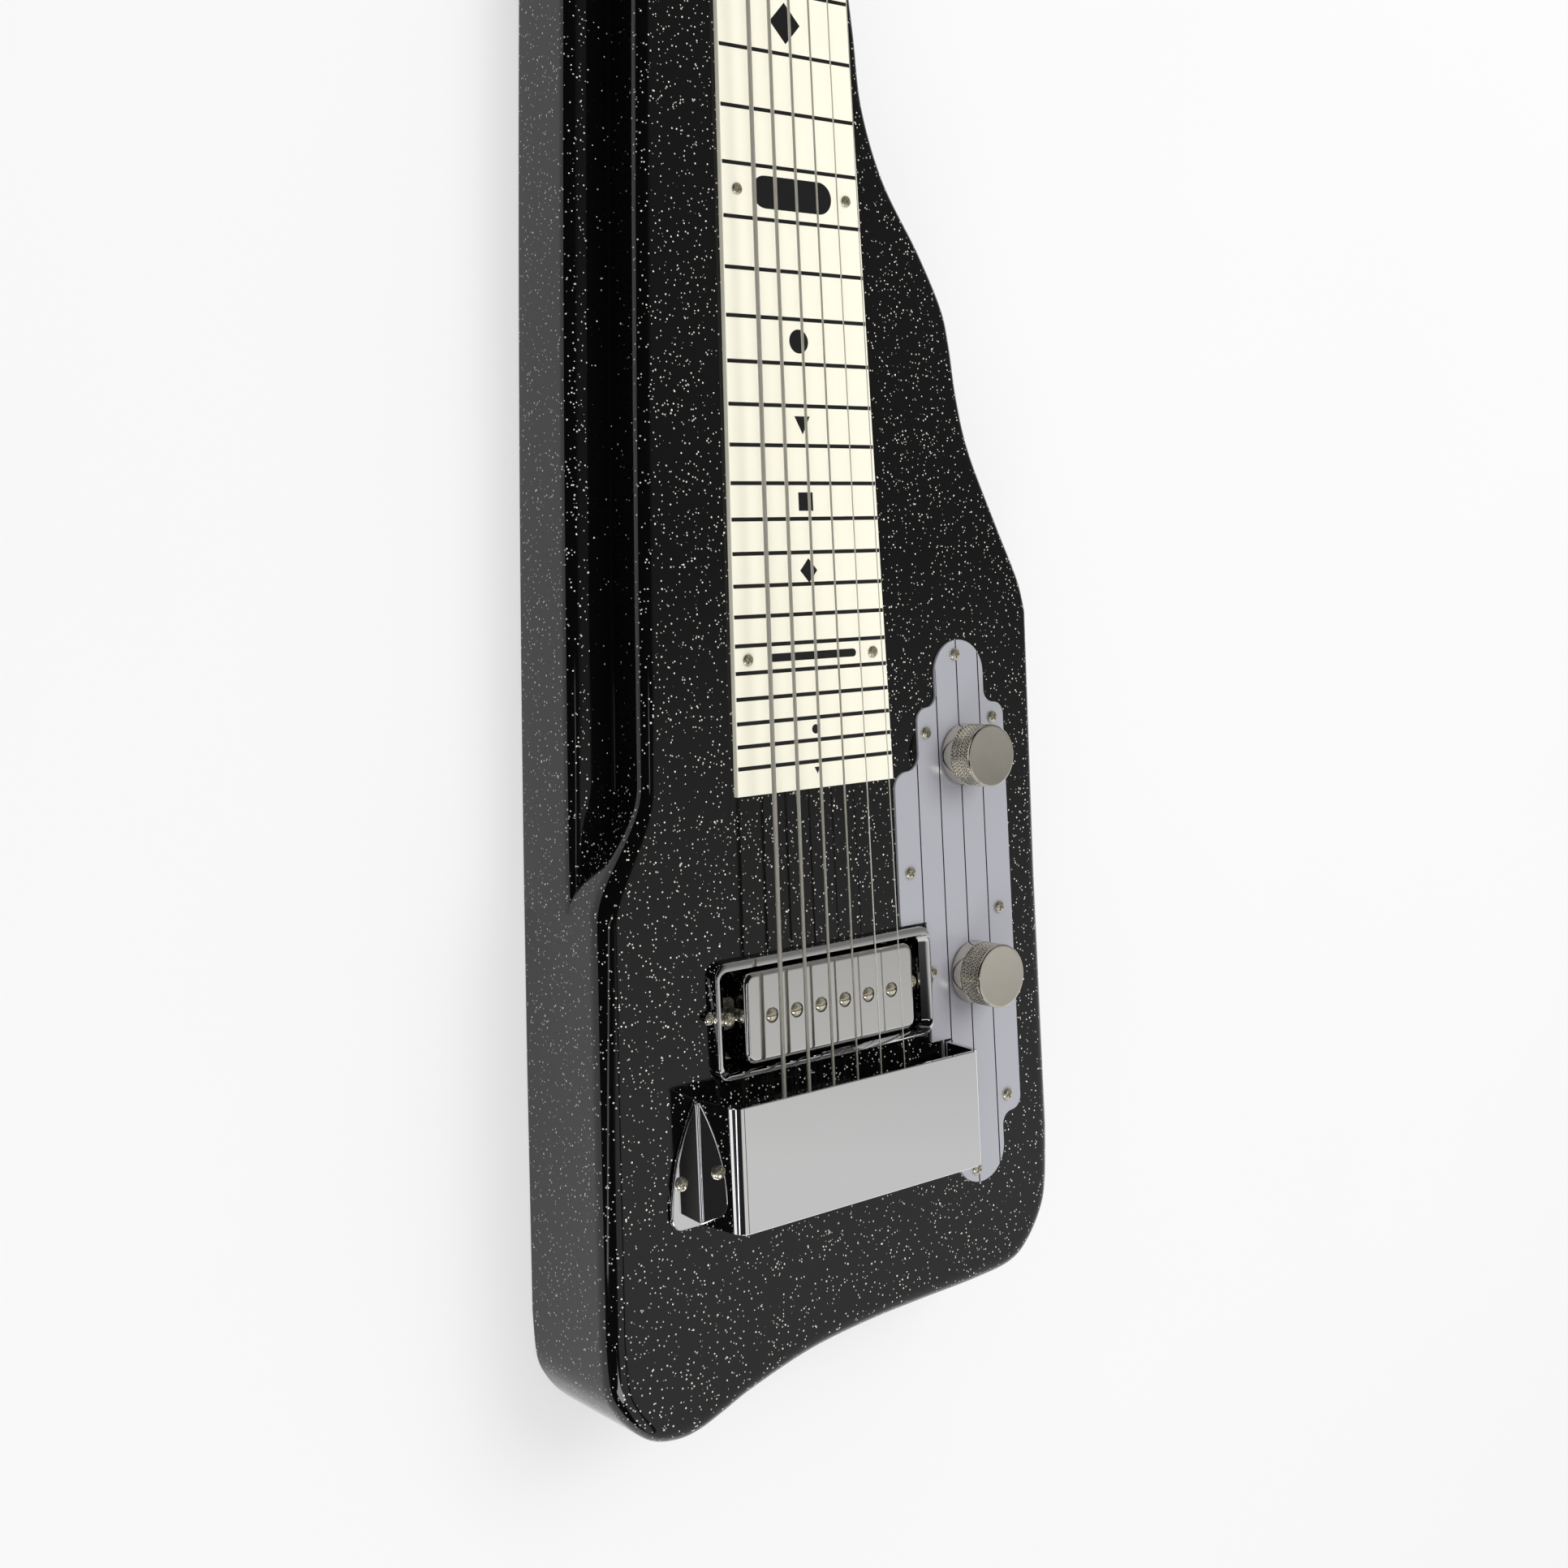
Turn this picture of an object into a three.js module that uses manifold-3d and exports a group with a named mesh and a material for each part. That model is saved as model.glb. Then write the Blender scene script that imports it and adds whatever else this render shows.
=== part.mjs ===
// A six-string lap steel guitar, built as an assembly of separate pieces. Lengths are in millimetres.
// +X points to the treble side, +Y to the headstock and +Z up, away from the flat back.
// The origin lies on the back, under the middle of the strings, halfway along the scale.
import * as THREE from 'three';
import { mergeVertices } from 'three/addons/utils/BufferGeometryUtils.js';
import Module from 'manifold-3d';

const wasm = await Module();
wasm.setup();

// Sizes shared by many pieces
const seatGap = 0.3; // left between pieces that rest on each other over a cut or curved face
const overrun = 2; // how far a cutting tool reaches past the face that it opens
const weldDistance = 0.0005;

// Scale and strings
const scaleLength = 571.5;
const stringCount = 6;
const nutSpread = 35;
const saddleSpread = 50.4;
const stringRise = 6.9; // from the fretboard to the underside of the strings
const bassGauge = 1.42;
const gaugeShares = [0.24, 0.3, 0.46, 0.64, 0.82, 1]; // treble string first
const stringSides = 6;
const ballRadius = 1.9;
const ballLength = 3.2;

// Body
const bodyDepth = 44.5;
const bodyEdgeRadius = 6.3; // round the top of the lower body
const neckEdgeRadius = 3.9; // round the top of the neck
const ledgeEdgeRadius = 4.4;
const backEdgeRadius = 1;
const bassEdgeAtNut = 57.8;
const bassEdgeAtTail = 85.7;
const bassEdgeBow = 3.85;
const plateMargin = 16; // body showing beside the control plate on the treble side
const neckMargin = 4.7; // body showing beside the fretboard on the treble side of the neck
const shoulderLength = 12; // full-depth body beyond the nut's line
const shoulderRadius = 9;
const trebleShoulderRadius = 4;
const waistStart = 205;
const waistToPlate = 8.5; // from the waist's end to the control plate
const waistShares = [
  [0.077, 0.024], [0.187, 0.055], [0.299, 0.168], [0.408, 0.374], [0.495, 0.51], [0.556, 0.555],
  [0.647, 0.592], [0.734, 0.66], [0.853, 0.824], [0.945, 0.956],
]; // along the waist, and from the neck's edge to the full treble width
const tailSetback = 22.5; // from the saddle to where the treble corner of the tail begins
const tailDrop = 63.1; // from there to the lowest point of the tail
const tailShares = [
  [0, 0.444], [0.005, 0.667], [0.023, 0.787], [0.053, 0.89], [0.09, 0.97], [0.134, 1],
  [0.175, 0.991], [0.223, 0.948], [0.276, 0.894], [0.378, 0.817], [0.459, 0.778], [0.566, 0.752],
  [0.667, 0.741], [0.803, 0.73], [0.889, 0.702], [0.938, 0.612], [0.978, 0.45], [0.993, 0.286],
]; // from the bass edge to the treble edge, and down the tail

// Ledge along the bass side of the neck
const ledgeDrop = 16;
const ledgeFlat = 1.6; // between the ledge's rounded edge and the cove
const ledgeRiser = 1.1; // upright wall between the cove and the rounded top edge
const flareLead = 9.7; // from the ledge's flare to the fretboard's end
const flareLength = 39;

// Headstock
const headLength = 152;
const headThickness = 17;
const headFaceDrop = 12;
const headEdgeRadius = 2.5;
const headRootWidth = 50;
const headBaseWidth = 84;
const headEndWidth = 92;
const headCornerRadius = 10;
const headCrown = 6;
const headFlareStart = 10;
const headFlareEnd = 32;

// Fretboard and nut
const boardWidthAtNut = 44.4;
const boardWidthAtEnd = 64.1;
const boardToRing = 49.6; // body showing between the fretboard and the pickup ring
const boardThickness = 2;
const nutThickness = 5;
const nutWidth = 43;
const nutLip = 1.1; // nut above the floor of its string slots
const nutRound = 1.2;

// Pickup
const poleSpread = 49.2;
const poleRadius = 2.1;
const poleStand = 0.6;
const coverLength = 69;
const coverWidth = 28;
const coverRise = 4.7;
const coverDepth = 12.4;
const coverWall = 0.8;
const coverCornerRadius = 3.4;
const coverEdgeRadius = 1.4;
const poleHoleGap = 0.35;
const bobbinMargin = 1.2;
const basePlateThickness = 1.4;
const basePlateEarGap = 0.5; // from the ear's end to the pocket's wall
const basePlateEarWidth = 10;
const wellEnd = 5.7; // open well between the cover's end and the ring
const wellSide = 0.8;
const ringEnd = 4.1; // from the opening to the ring's end
const ringSide = 3.3;
const ringToHandRest = 3.7;
const ringFlange = 1.3;
const ringRimInset = 1.6;
const ringRimHeight = 3.1;
const ringOpeningRadius = 2;
const ringRimRound = 0.7;
const ringCornerRadius = 4.6;
const ringTabRadius = 3.3;
const heightScrewRadius = 1.2;
const heightScrewHead = 2.2;
const heightScrewHeadThickness = 1.5;
const pickupPocketDepth = 20;
const heightScrewHoleDepth = 9;

// Bridge and its cover
const bridgeWidth = 62;
const bridgeBase = 3;
const bridgeFront = 6;
const bridgeBack = 17;
const saddleRound = 2.4;
const anchorSetback = 12;
const anchorThickness = 3;
const anchorHeight = 9;
const anchorHoleRadius = 1.25;
const anchorHoleHeight = 6;
const handRestWidth = 101;
const handRestHeight = 18.6;
const handRestLength = 37.4;
const handRestLead = 15.3; // from its front edge to the saddle
const handRestWall = 1.5;
const handRestBend = 5;
const earWidth = 12;
const earTipWidth = 5;
const earThickness = 1.5;

// Control plate
const plateThickness = 1;
const plateRingGap = 0.3;
const plateBoardGap = 1.25;
const plateHalfWidth = 20;
const plateTongue = 11.2; // half width of the round ends
const plateStraight = 2.3; // between the upper round end and the step
const plateStepReach = 25.5; // from the upper step's start to the tone control
const plateStepLength = 14;
const plateShoulder = 9.5; // between the upper step and the flank
const plateLowStepReach = 42; // from the volume control to the lower step's start
const plateLowStepLength = 15;
const plateLowStraight = 2.8;
const plateClearance = 0.5;
const controlPocketDepth = 36;
const controlPocketMargin = 3.5; // round a potentiometer
const controlPocketRadius = 8;
const wireHoleRadius = 2.5;

// Controls
const knobRadius = 10.2;
const knobHeight = 13;
const knobLift = 0.9;
const knobChamfer = 0.7;
const knobWall = 2.2;
const knobRecess = 4;
const knobRoof = 2;
const volumeSetback = 0.6; // from the pickup's middle
const knobPitch = 73.5;
const potRadius = 12;
const potDepth = 8.5;
const potTongueRadius = 9;
const bushingRadius = 4.75;
const bushingHeight = 4.4;
const shaftRadius = 3;
const shaftGrip = 7; // length of shaft inside the knob
const potNutRadius = 6.6;
const potNutHeight = 2.2;
const holeClearance = 0.3;
const lugWidth = 2.4;
const lugLength = 3;
const lugThickness = 0.8;
const lugPitch = 5;
const capacitorRadius = 4;
const capacitorThickness = 2.6;

// Output jack
const jackToVolume = 27;
const jackHeight = 24;
const jackWall = 6;
const jackPocketRadius = 11;
const jackSleeveRadius = 4.7;
const jackBore = 3.3;
const jackReach = 4.4; // sleeve outside the body
const jackFlangeRadius = 7.5;
const jackFlangeThickness = 2;
const jackNutRadius = 6.8;
const jackNutThickness = 2.6;
const jackBack = 6;
const jackSpringLength = 13;
const jackSpringThickness = 0.8;
const jackSpringWidth = 5;

// Tuners
const tunersPerSide = 3;
const postRow = 27; // from the middle of the headstock
const firstPost = 40; // beyond the nut
const postPitch = 38;
const postRadius = 3;
const postWaist = 2.6;
const postHeight = 13.5;
const postDome = 0.8;
const waistBottom = 2.6;
const waistTop = 10.6;
const postBushingRadius = 5;
const postBushingFlange = 0.8;
const postBushingWall = 1;
const postBushingDepth = 8;
const stripThickness = 1.2;
const stripMargin = 1; // beside the bearings
const stripOverhang = 15;
const stripCorner = 3;
const gearTeeth = 14;
const gearModule = 0.75;
const gearThickness = 3;
const gearAddendum = 0.5;
const meshClearance = 0.35;
const toothTip = 0.4;
const toothFoot = 1.1;
const wormCoreRadius = 1.4;
const wormPitchRadius = 2.25;
const wormTurns = 3;
const wormRingsPerTurn = 8;
const wormCrestShare = 0.28;
const wormFlankShare = 0.17;
const wormDrop = 0.4; // between the strip and the worm's crest
const collarRadius = 4.2;
const bearingThickness = 1.6;
const bearingWidth = 7;
const bearingInner = 6.3; // from the post's centre line to the inner bearing
const bearingOuter = 9;
const buttonStart = 23;
const buttonLength = 14;
const buttonRadius = 8;
const buttonThickness = 8.4;
const buttonGrip = 8;
const wrapTurns = 2;
const wrapStepsPerTurn = 12;
const wrapGap = 0.45; // between neighbouring turns
const wrapClearance = 0.35; // between a turn and the post

// Sizes and distances from the nut, worked out from the sizes above
const coveRadius = ledgeDrop - ledgeRiser - neckEdgeRadius;
const ledgeInset = ledgeEdgeRadius + ledgeFlat + coveRadius;
const ringOpeningLength = coverLength + 2 * wellEnd;
const ringOpeningWidth = coverWidth + 2 * wellSide;
const ringLength = ringOpeningLength + 2 * ringEnd;
const ringWidth = ringOpeningWidth + 2 * ringSide;
const handRestFromNut = scaleLength - handRestLead;
const pickupFromNut = handRestFromNut - ringToHandRest - ringWidth / 2;
const boardLength = pickupFromNut - ringWidth / 2 - boardToRing;
const volumeFromNut = pickupFromNut + volumeSetback;
const toneFromNut = volumeFromNut - knobPitch;
const jackFromNut = volumeFromNut - jackToVolume;
const plateStepStart = toneFromNut - plateStepReach;
const plateStepEnd = plateStepStart + plateStepLength;
const plateFlankStart = plateStepEnd + plateShoulder;
const plateLowStepStart = volumeFromNut + plateLowStepReach;
const plateLowStepEnd = plateLowStepStart + plateLowStepLength;
const plateCentre = ringLength / 2 + plateRingGap + plateHalfWidth;
const plateFlankLeft = boardWidthAtEnd / 2 + plateBoardGap;
const plateFlankRadius = (plateCentre - plateHalfWidth - plateFlankLeft) / 2;
const plateFlankEnd = plateFlankStart + 2 * plateFlankRadius;
const trebleEdge = plateCentre + plateHalfWidth + plateMargin;
const waistEnd = plateStepStart - plateStraight - plateTongue - waistToPlate;
const tailStart = scaleLength + tailSetback;
const flareStart = boardLength - flareLead;
const flareEnd = flareStart + flareLength;

// Places worked out from the sizes
const nutY = scaleLength / 2;
const bodyTop = bodyDepth;
const ledgeZ = bodyDepth - ledgeDrop;
const boardTop = bodyTop + boardThickness;
const stringUnderside = boardTop + stringRise;
const headFace = bodyTop - headFaceDrop;
const headBack = headFace - headThickness;
const plateTopZ = bodyTop + plateThickness;
const pickupY = fromNut(pickupFromNut);
const saddleY = fromNut(scaleLength);

// The place along Y that lies the given distance towards the tail from the nut's front edge.
function fromNut(distance) {
  return nutY - distance;
}

function gauge(string) {
  return bassGauge * gaugeShares[string - 1];
}

// Sideways place of a string, given the strings' spread there; string 1 is on the treble side.
function stringX(string, spread) {
  return spread / 2 - (string - 1) * spread / (stringCount - 1);
}

function paint(color, roughness, metalness) {
  return new THREE.MeshStandardMaterial({ color, roughness, metalness });
}

// Merges shared corners and drops the empty triangles that a revolved pole leaves.
function weld(geometry) {
  const bare = geometry.clone();
  bare.deleteAttribute('normal');
  bare.deleteAttribute('uv');
  const merged = mergeVertices(bare, weldDistance);
  const corners = merged.index.array;
  const kept = [];
  for (let i = 0; i < corners.length; i += 3) {
    const [a, b, c] = [corners[i], corners[i + 1], corners[i + 2]];
    if (a !== b && b !== c && c !== a) kept.push(a, b, c);
  }
  merged.setIndex(kept);
  return merged;
}

function toSolid(geometry) {
  const welded = weld(geometry);
  return new wasm.Manifold(new wasm.Mesh({
    numProp: 3,
    vertProperties: new Float32Array(welded.attributes.position.array),
    triVerts: new Uint32Array(welded.index.array),
  }));
}

function toGeometry(solid) {
  const mesh = solid.getMesh();
  const geometry = new THREE.BufferGeometry();
  geometry.setAttribute('position', new THREE.BufferAttribute(mesh.vertProperties, 3));
  geometry.setIndex(new THREE.BufferAttribute(mesh.triVerts, 1));
  return geometry;
}

// Joins the first list of geometries and cuts the second list away.
function combine(joined, cut = []) {
  let solid = toSolid(joined[0]);
  for (const geometry of joined.slice(1)) solid = solid.add(toSolid(geometry));
  for (const geometry of cut) solid = solid.subtract(toSolid(geometry));
  return toGeometry(solid);
}

// A closed skin over rings of points that have equal counts and run the same way round.
function skin(rings) {
  const count = rings[0].length;
  const positions = rings.flat().flatMap((point) => [point.x, point.y, point.z]);
  const index = [];
  for (let ring = 0; ring < rings.length - 1; ring += 1) {
    for (let i = 0; i < count; i += 1) {
      const next = (i + 1) % count;
      const [a, b] = [ring * count + i, ring * count + next];
      index.push(a, b, b + count, a, b + count, a + count);
    }
  }
  const flat = (ring) => ring.map((point) => new THREE.Vector2(point.x, point.y));
  const last = (rings.length - 1) * count;
  for (const [a, b, c] of THREE.ShapeUtils.triangulateShape(flat(rings[0]), [])) index.push(a, c, b);
  for (const [a, b, c] of THREE.ShapeUtils.triangulateShape(flat(rings[rings.length - 1]), [])) {
    index.push(last + a, last + b, last + c);
  }
  const geometry = new THREE.BufferGeometry();
  geometry.setAttribute('position', new THREE.Float32BufferAttribute(positions, 3));
  geometry.setIndex(index);
  return geometry;
}

// Inward normals of a closed outline that runs anticlockwise.
function inwardNormals(outline) {
  return outline.map((point, i) => {
    const before = outline[(i + outline.length - 1) % outline.length];
    const after = outline[(i + 1) % outline.length];
    const into = new THREE.Vector2().subVectors(point, before).normalize();
    const away = new THREE.Vector2().subVectors(after, point).normalize();
    const along = into.clone().add(away).normalize();
    const stretch = 1 / Math.max(along.dot(into), 0.5);
    return new THREE.Vector2(-along.y, along.x).multiplyScalar(stretch);
  });
}

// Quarter-circle steps from a vertical wall to a flat: how far in and how far up each one is.
function roundSteps(radius, steps) {
  return Array.from({ length: steps + 1 }, (_, i) => {
    const angle = (i / steps) * Math.PI / 2;
    return { inward: radius * (1 - Math.cos(angle)), up: radius * Math.sin(angle) };
  });
}

// A flat piece with rounded edges: an outline raised from one height to another.
function slab(outline, low, high, lowRadius, highRadius, steps) {
  const normals = inwardNormals(outline);
  const levels = [];
  if (lowRadius > 0) {
    for (const step of roundSteps(lowRadius, steps).reverse()) {
      levels.push({ inward: step.inward, z: low + lowRadius - step.up });
    }
  } else {
    levels.push({ inward: 0, z: low });
  }
  if (highRadius > 0) {
    for (const step of roundSteps(highRadius, steps)) {
      levels.push({ inward: step.inward, z: high - highRadius + step.up });
    }
  } else {
    levels.push({ inward: 0, z: high });
  }
  return skin(levels.map(({ inward, z }) => outline.map((point, i) => new THREE.Vector3(
    point.x + normals[i].x * inward, point.y + normals[i].y * inward, z,
  ))));
}

// Anticlockwise rectangle with round corners about a centre.
function roundRectangle(centreX, centreY, width, height, radius, steps) {
  const shape = new THREE.Shape();
  const [x, y] = [width / 2 - radius, height / 2 - radius];
  shape.absarc(centreX + x, centreY + y, radius, 0, Math.PI / 2, false);
  shape.absarc(centreX - x, centreY + y, radius, Math.PI / 2, Math.PI, false);
  shape.absarc(centreX - x, centreY - y, radius, Math.PI, Math.PI * 1.5, false);
  shape.absarc(centreX + x, centreY - y, radius, Math.PI * 1.5, Math.PI * 2, false);
  return distinct(shape.getPoints(steps));
}

// Drops repeated neighbours from a closed outline.
function distinct(points) {
  return points.filter((point, i) => (
    point.distanceTo(points[(i + points.length - 1) % points.length]) > weldDistance * 4
  ));
}

function along(curvePoints, steps) {
  return new THREE.SplineCurve(curvePoints).getSpacedPoints(steps);
}

// A cylinder whose axis runs along Z from one height to another.
function post(x, y, low, high, radius, sides = 24) {
  const geometry = new THREE.CylinderGeometry(radius, radius, high - low, sides);
  return geometry.rotateX(Math.PI / 2).translate(x, y, (low + high) / 2);
}

// A cylinder whose axis runs along X.
function rod(from, to, y, z, radius, sides = 24) {
  const geometry = new THREE.CylinderGeometry(radius, radius, to - from, sides);
  return geometry.rotateZ(Math.PI / 2).translate((from + to) / 2, y, z);
}

function block(lowX, highX, lowY, highY, lowZ, highZ) {
  const geometry = new THREE.BoxGeometry(highX - lowX, highY - lowY, highZ - lowZ);
  return geometry.translate((lowX + highX) / 2, (lowY + highY) / 2, (lowZ + highZ) / 2);
}

// A closed profile of radius and height, turned about a vertical axis.
function turned(profile, sides) {
  const points = profile.map(([radius, height]) => new THREE.Vector2(radius, height));
  return new THREE.LatheGeometry(points, sides).rotateX(Math.PI / 2);
}

// A closed profile of Y and Z, drawn out along X.
function drawnAlongX(profile, fromX, toX, steps) {
  const geometry = new THREE.ExtrudeGeometry(profile, {
    depth: toX - fromX, bevelEnabled: false, curveSegments: steps,
  });
  return geometry.rotateX(Math.PI / 2).rotateZ(Math.PI / 2).translate(fromX, 0, 0);
}

// Body

function bassEdge(distance) {
  const share = distance / (tailStart + tailDrop * tailShares[0][1]);
  const straight = THREE.MathUtils.lerp(bassEdgeAtNut, bassEdgeAtTail, share);
  return -(straight + 4 * bassEdgeBow * share * (1 - share));
}

function boardHalfWidth(distance) {
  return THREE.MathUtils.lerp(boardWidthAtNut, boardWidthAtEnd, distance / boardLength) / 2;
}

function neckTrebleEdge(distance) {
  return boardHalfWidth(distance) + neckMargin;
}

// How far the upper level of the bass side stands back from the lower one.
function ledgeWidth(distance) {
  return ledgeInset * (1 - THREE.MathUtils.smoothstep(distance, flareStart, flareEnd));
}

// Radius of the body's top edge at a distance from the nut.
function topEdgeRadius(distance) {
  return THREE.MathUtils.lerp(
    neckEdgeRadius, bodyEdgeRadius, THREE.MathUtils.smoothstep(distance, flareStart, flareEnd),
  );
}

// The plan of the body, anticlockwise from the treble end of its shoulder. Each point also holds the
// radius of its top edge, and how far the level above the ledge is moved towards the treble side.
function bodyOutline() {
  const end = -shoulderLength;
  const trebleX = neckTrebleEdge(end);
  const bassX = bassEdge(end);
  const points = [];
  const add = (x, distance, inset) => {
    const edge = topEdgeRadius(distance);
    points.push(Object.assign(new THREE.Vector2(x, fromNut(distance)), { inset, edge }));
  };
  const corner = (x, distance, radius, from, inset) => {
    for (let step = 0; step <= 4; step += 1) {
      const angle = from + (step / 4) * Math.PI / 2;
      add(x + radius * Math.cos(angle), distance - radius * Math.sin(angle), inset);
    }
  };
  corner(trebleX - trebleShoulderRadius, end + trebleShoulderRadius, trebleShoulderRadius, 0, 0);
  corner(bassX + shoulderRadius, end + shoulderRadius, shoulderRadius, Math.PI / 2, ledgeInset);

  const straightStops = [0, waistStart, (waistStart + flareStart) / 2, flareStart];
  for (const distance of straightStops.slice(1)) add(bassEdge(distance), distance, ledgeWidth(distance));
  for (let step = 1; step <= 6; step += 1) {
    const distance = THREE.MathUtils.lerp(flareStart, flareEnd, step / 6);
    add(bassEdge(distance), distance, ledgeWidth(distance));
  }
  add(bassEdge((flareEnd + tailStart) / 2), (flareEnd + tailStart) / 2, 0);

  const bassCorner = bassEdge(tailStart + tailDrop * tailShares[0][1]);
  const tail = tailShares.map(([across, down]) => new THREE.Vector2(
    THREE.MathUtils.lerp(bassCorner, trebleEdge, across), tailStart + tailDrop * down,
  ));
  tail.push(new THREE.Vector2(trebleEdge, tailStart));
  for (const point of along(tail, 30)) add(point.x, point.y, 0);

  add(trebleEdge, (tailStart + waistEnd) / 2, 0);
  const waist = waistShares.map(([share, out]) => {
    const distance = THREE.MathUtils.lerp(waistStart, waistEnd, share);
    return new THREE.Vector2(THREE.MathUtils.lerp(neckTrebleEdge(waistStart), trebleEdge, out), distance);
  }).reverse();
  waist.unshift(new THREE.Vector2(trebleEdge, waistEnd));
  waist.push(new THREE.Vector2(neckTrebleEdge(waistStart), waistStart));
  for (const point of along(waist, 20)) add(point.x, point.y, 0);
  return points;
}

// Height, ledge travel and rounding of each level of the body, from the back to the top. The two
// shares are of the point's own edge radius. Where there is no ledge, a level slides to its plain
// height on the straight wall.
function bodyLevels() {
  const levels = [];
  for (const { inward, up } of roundSteps(backEdgeRadius, 2).reverse()) {
    const z = backEdgeRadius - up;
    levels.push({ z, plain: z, travel: 0, inward, inShare: 0, downShare: 0 });
  }
  const ledge = [];
  for (const { inward, up } of roundSteps(ledgeEdgeRadius, 2)) {
    ledge.push({ z: ledgeZ - ledgeEdgeRadius + up, travel: inward });
  }
  for (const { inward, up } of roundSteps(coveRadius, 3)) {
    ledge.push({ z: ledgeZ + inward, travel: ledgeInset - coveRadius + up });
  }
  ledge.forEach(({ z, travel }, i) => {
    const plain = THREE.MathUtils.lerp(ledge[0].z, bodyTop - bodyEdgeRadius, i / ledge.length);
    levels.push({ z, plain, travel, inward: 0, inShare: 0, downShare: 0 });
  });
  for (const { inward, up } of roundSteps(bodyEdgeRadius, 3)) {
    const [inShare, downShare] = [inward / bodyEdgeRadius, 1 - up / bodyEdgeRadius];
    levels.push({ z: bodyTop, plain: bodyTop, travel: ledgeInset, inward: 0, inShare, downShare });
  }
  return levels;
}

function bodyShell() {
  const outline = bodyOutline();
  const normals = inwardNormals(outline);
  return skin(bodyLevels().map((level) => outline.map((point, i) => {
    const share = point.inset / ledgeInset;
    const inward = level.inward + level.inShare * point.edge;
    return new THREE.Vector3(
      point.x + level.travel * share + normals[i].x * inward,
      point.y + normals[i].y * inward,
      THREE.MathUtils.lerp(level.plain, level.z, share) - level.downShare * point.edge,
    );
  })));
}

function headOutline() {
  const half = (distance) => {
    const flare = THREE.MathUtils.smoothstep(distance, headFlareStart, headFlareEnd);
    const taper = Math.max(0, (distance - headFlareEnd) / (headLength - headFlareEnd));
    const base = THREE.MathUtils.lerp(headRootWidth, headBaseWidth, flare);
    return (base + (headEndWidth - headBaseWidth) * taper) / 2;
  };
  const side = [0];
  for (let step = 0; step <= 6; step += 1) {
    side.push(THREE.MathUtils.lerp(headFlareStart, headFlareEnd, step / 6));
  }
  const treble = side.map((distance) => new THREE.Vector2(half(distance), nutY + distance));
  const end = headLength - headCrown;
  const corner = [];
  for (let step = 0; step <= 5; step += 1) {
    const angle = (step / 5) * Math.PI / 2;
    corner.push(new THREE.Vector2(
      headEndWidth / 2 - headCornerRadius * (1 - Math.cos(angle)),
      nutY + end - headCornerRadius * (1 - Math.sin(angle)),
    ));
  }
  const trebleHalf = [...treble, ...corner];
  const bassHalf = trebleHalf.map((point) => new THREE.Vector2(-point.x, point.y)).reverse();
  return [...trebleHalf, new THREE.Vector2(0, nutY + headLength), ...bassHalf];
}

function postPlaces() {
  const places = [];
  for (let i = 0; i < tunersPerSide; i += 1) {
    const y = nutY + firstPost + i * postPitch;
    places.push({ string: i + 1, x: postRow, y, side: 1 });
    places.push({ string: stringCount - i, x: -postRow, y, side: -1 });
  }
  return places.sort((a, b) => a.string - b.string);
}

// Pocket under the control plate between two distances from the nut.
function controlPocket(start, end) {
  const outline = roundRectangle(
    plateCentre, fromNut((start + end) / 2), 2 * (potRadius + controlPocketMargin), end - start,
    controlPocketRadius, 4,
  );
  return slab(outline, bodyTop - controlPocketDepth, bodyTop + overrun, 0, 0, 1);
}

function pickupOpening() {
  return roundRectangle(0, pickupY, ringOpeningLength, ringOpeningWidth, ringOpeningRadius, 3);
}

function body() {
  const jackY = fromNut(jackFromNut);
  const pocketEnd = trebleEdge - jackWall;
  const pocketReach = potRadius + controlPocketMargin;
  const wireZ = bodyTop - pickupPocketDepth + 2 * wireHoleRadius;
  const cuts = [
    controlPocket(toneFromNut - pocketReach, toneFromNut + pocketReach),
    controlPocket(jackFromNut - jackPocketRadius, volumeFromNut + pocketReach),
    post(0, 0, volumeFromNut - jackFromNut, volumeFromNut - toneFromNut, wireHoleRadius, 12)
      .rotateX(-Math.PI / 2).translate(plateCentre, fromNut(volumeFromNut), wireZ),
    slab(pickupOpening(), bodyTop - pickupPocketDepth, bodyTop + overrun, 0, 0, 1),
    rod(0, plateCentre, pickupY, wireZ, wireHoleRadius, 12),
    rod(plateCentre, pocketEnd, jackY, jackHeight, jackPocketRadius, 16),
    rod(plateCentre, trebleEdge + overrun, jackY, jackHeight, jackSleeveRadius + holeClearance, 20),
  ];
  for (const x of heightScrewPlaces()) {
    const floor = bodyTop - pickupPocketDepth;
    cuts.push(post(
      x, pickupY, floor - heightScrewHoleDepth, floor + overrun, heightScrewRadius + holeClearance, 12,
    ));
  }
  for (const { x, y } of postPlaces()) {
    const hole = postRadius + holeClearance + postBushingWall;
    cuts.push(post(x, y, headBack - overrun, headFace + overrun, hole, 12));
  }
  const head = slab(headOutline(), headBack, headFace, headEdgeRadius, headEdgeRadius, 2);
  return combine([bodyShell(), head], cuts);
}

// Fretboard and nut

function fretboard() {
  const outline = [
    new THREE.Vector2(-boardWidthAtNut / 2, nutY),
    new THREE.Vector2(-boardWidthAtEnd / 2, fromNut(boardLength)),
    new THREE.Vector2(boardWidthAtEnd / 2, fromNut(boardLength)),
    new THREE.Vector2(boardWidthAtNut / 2, nutY),
  ];
  return slab(outline, bodyTop, boardTop, 0, 0, 1);
}

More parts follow.
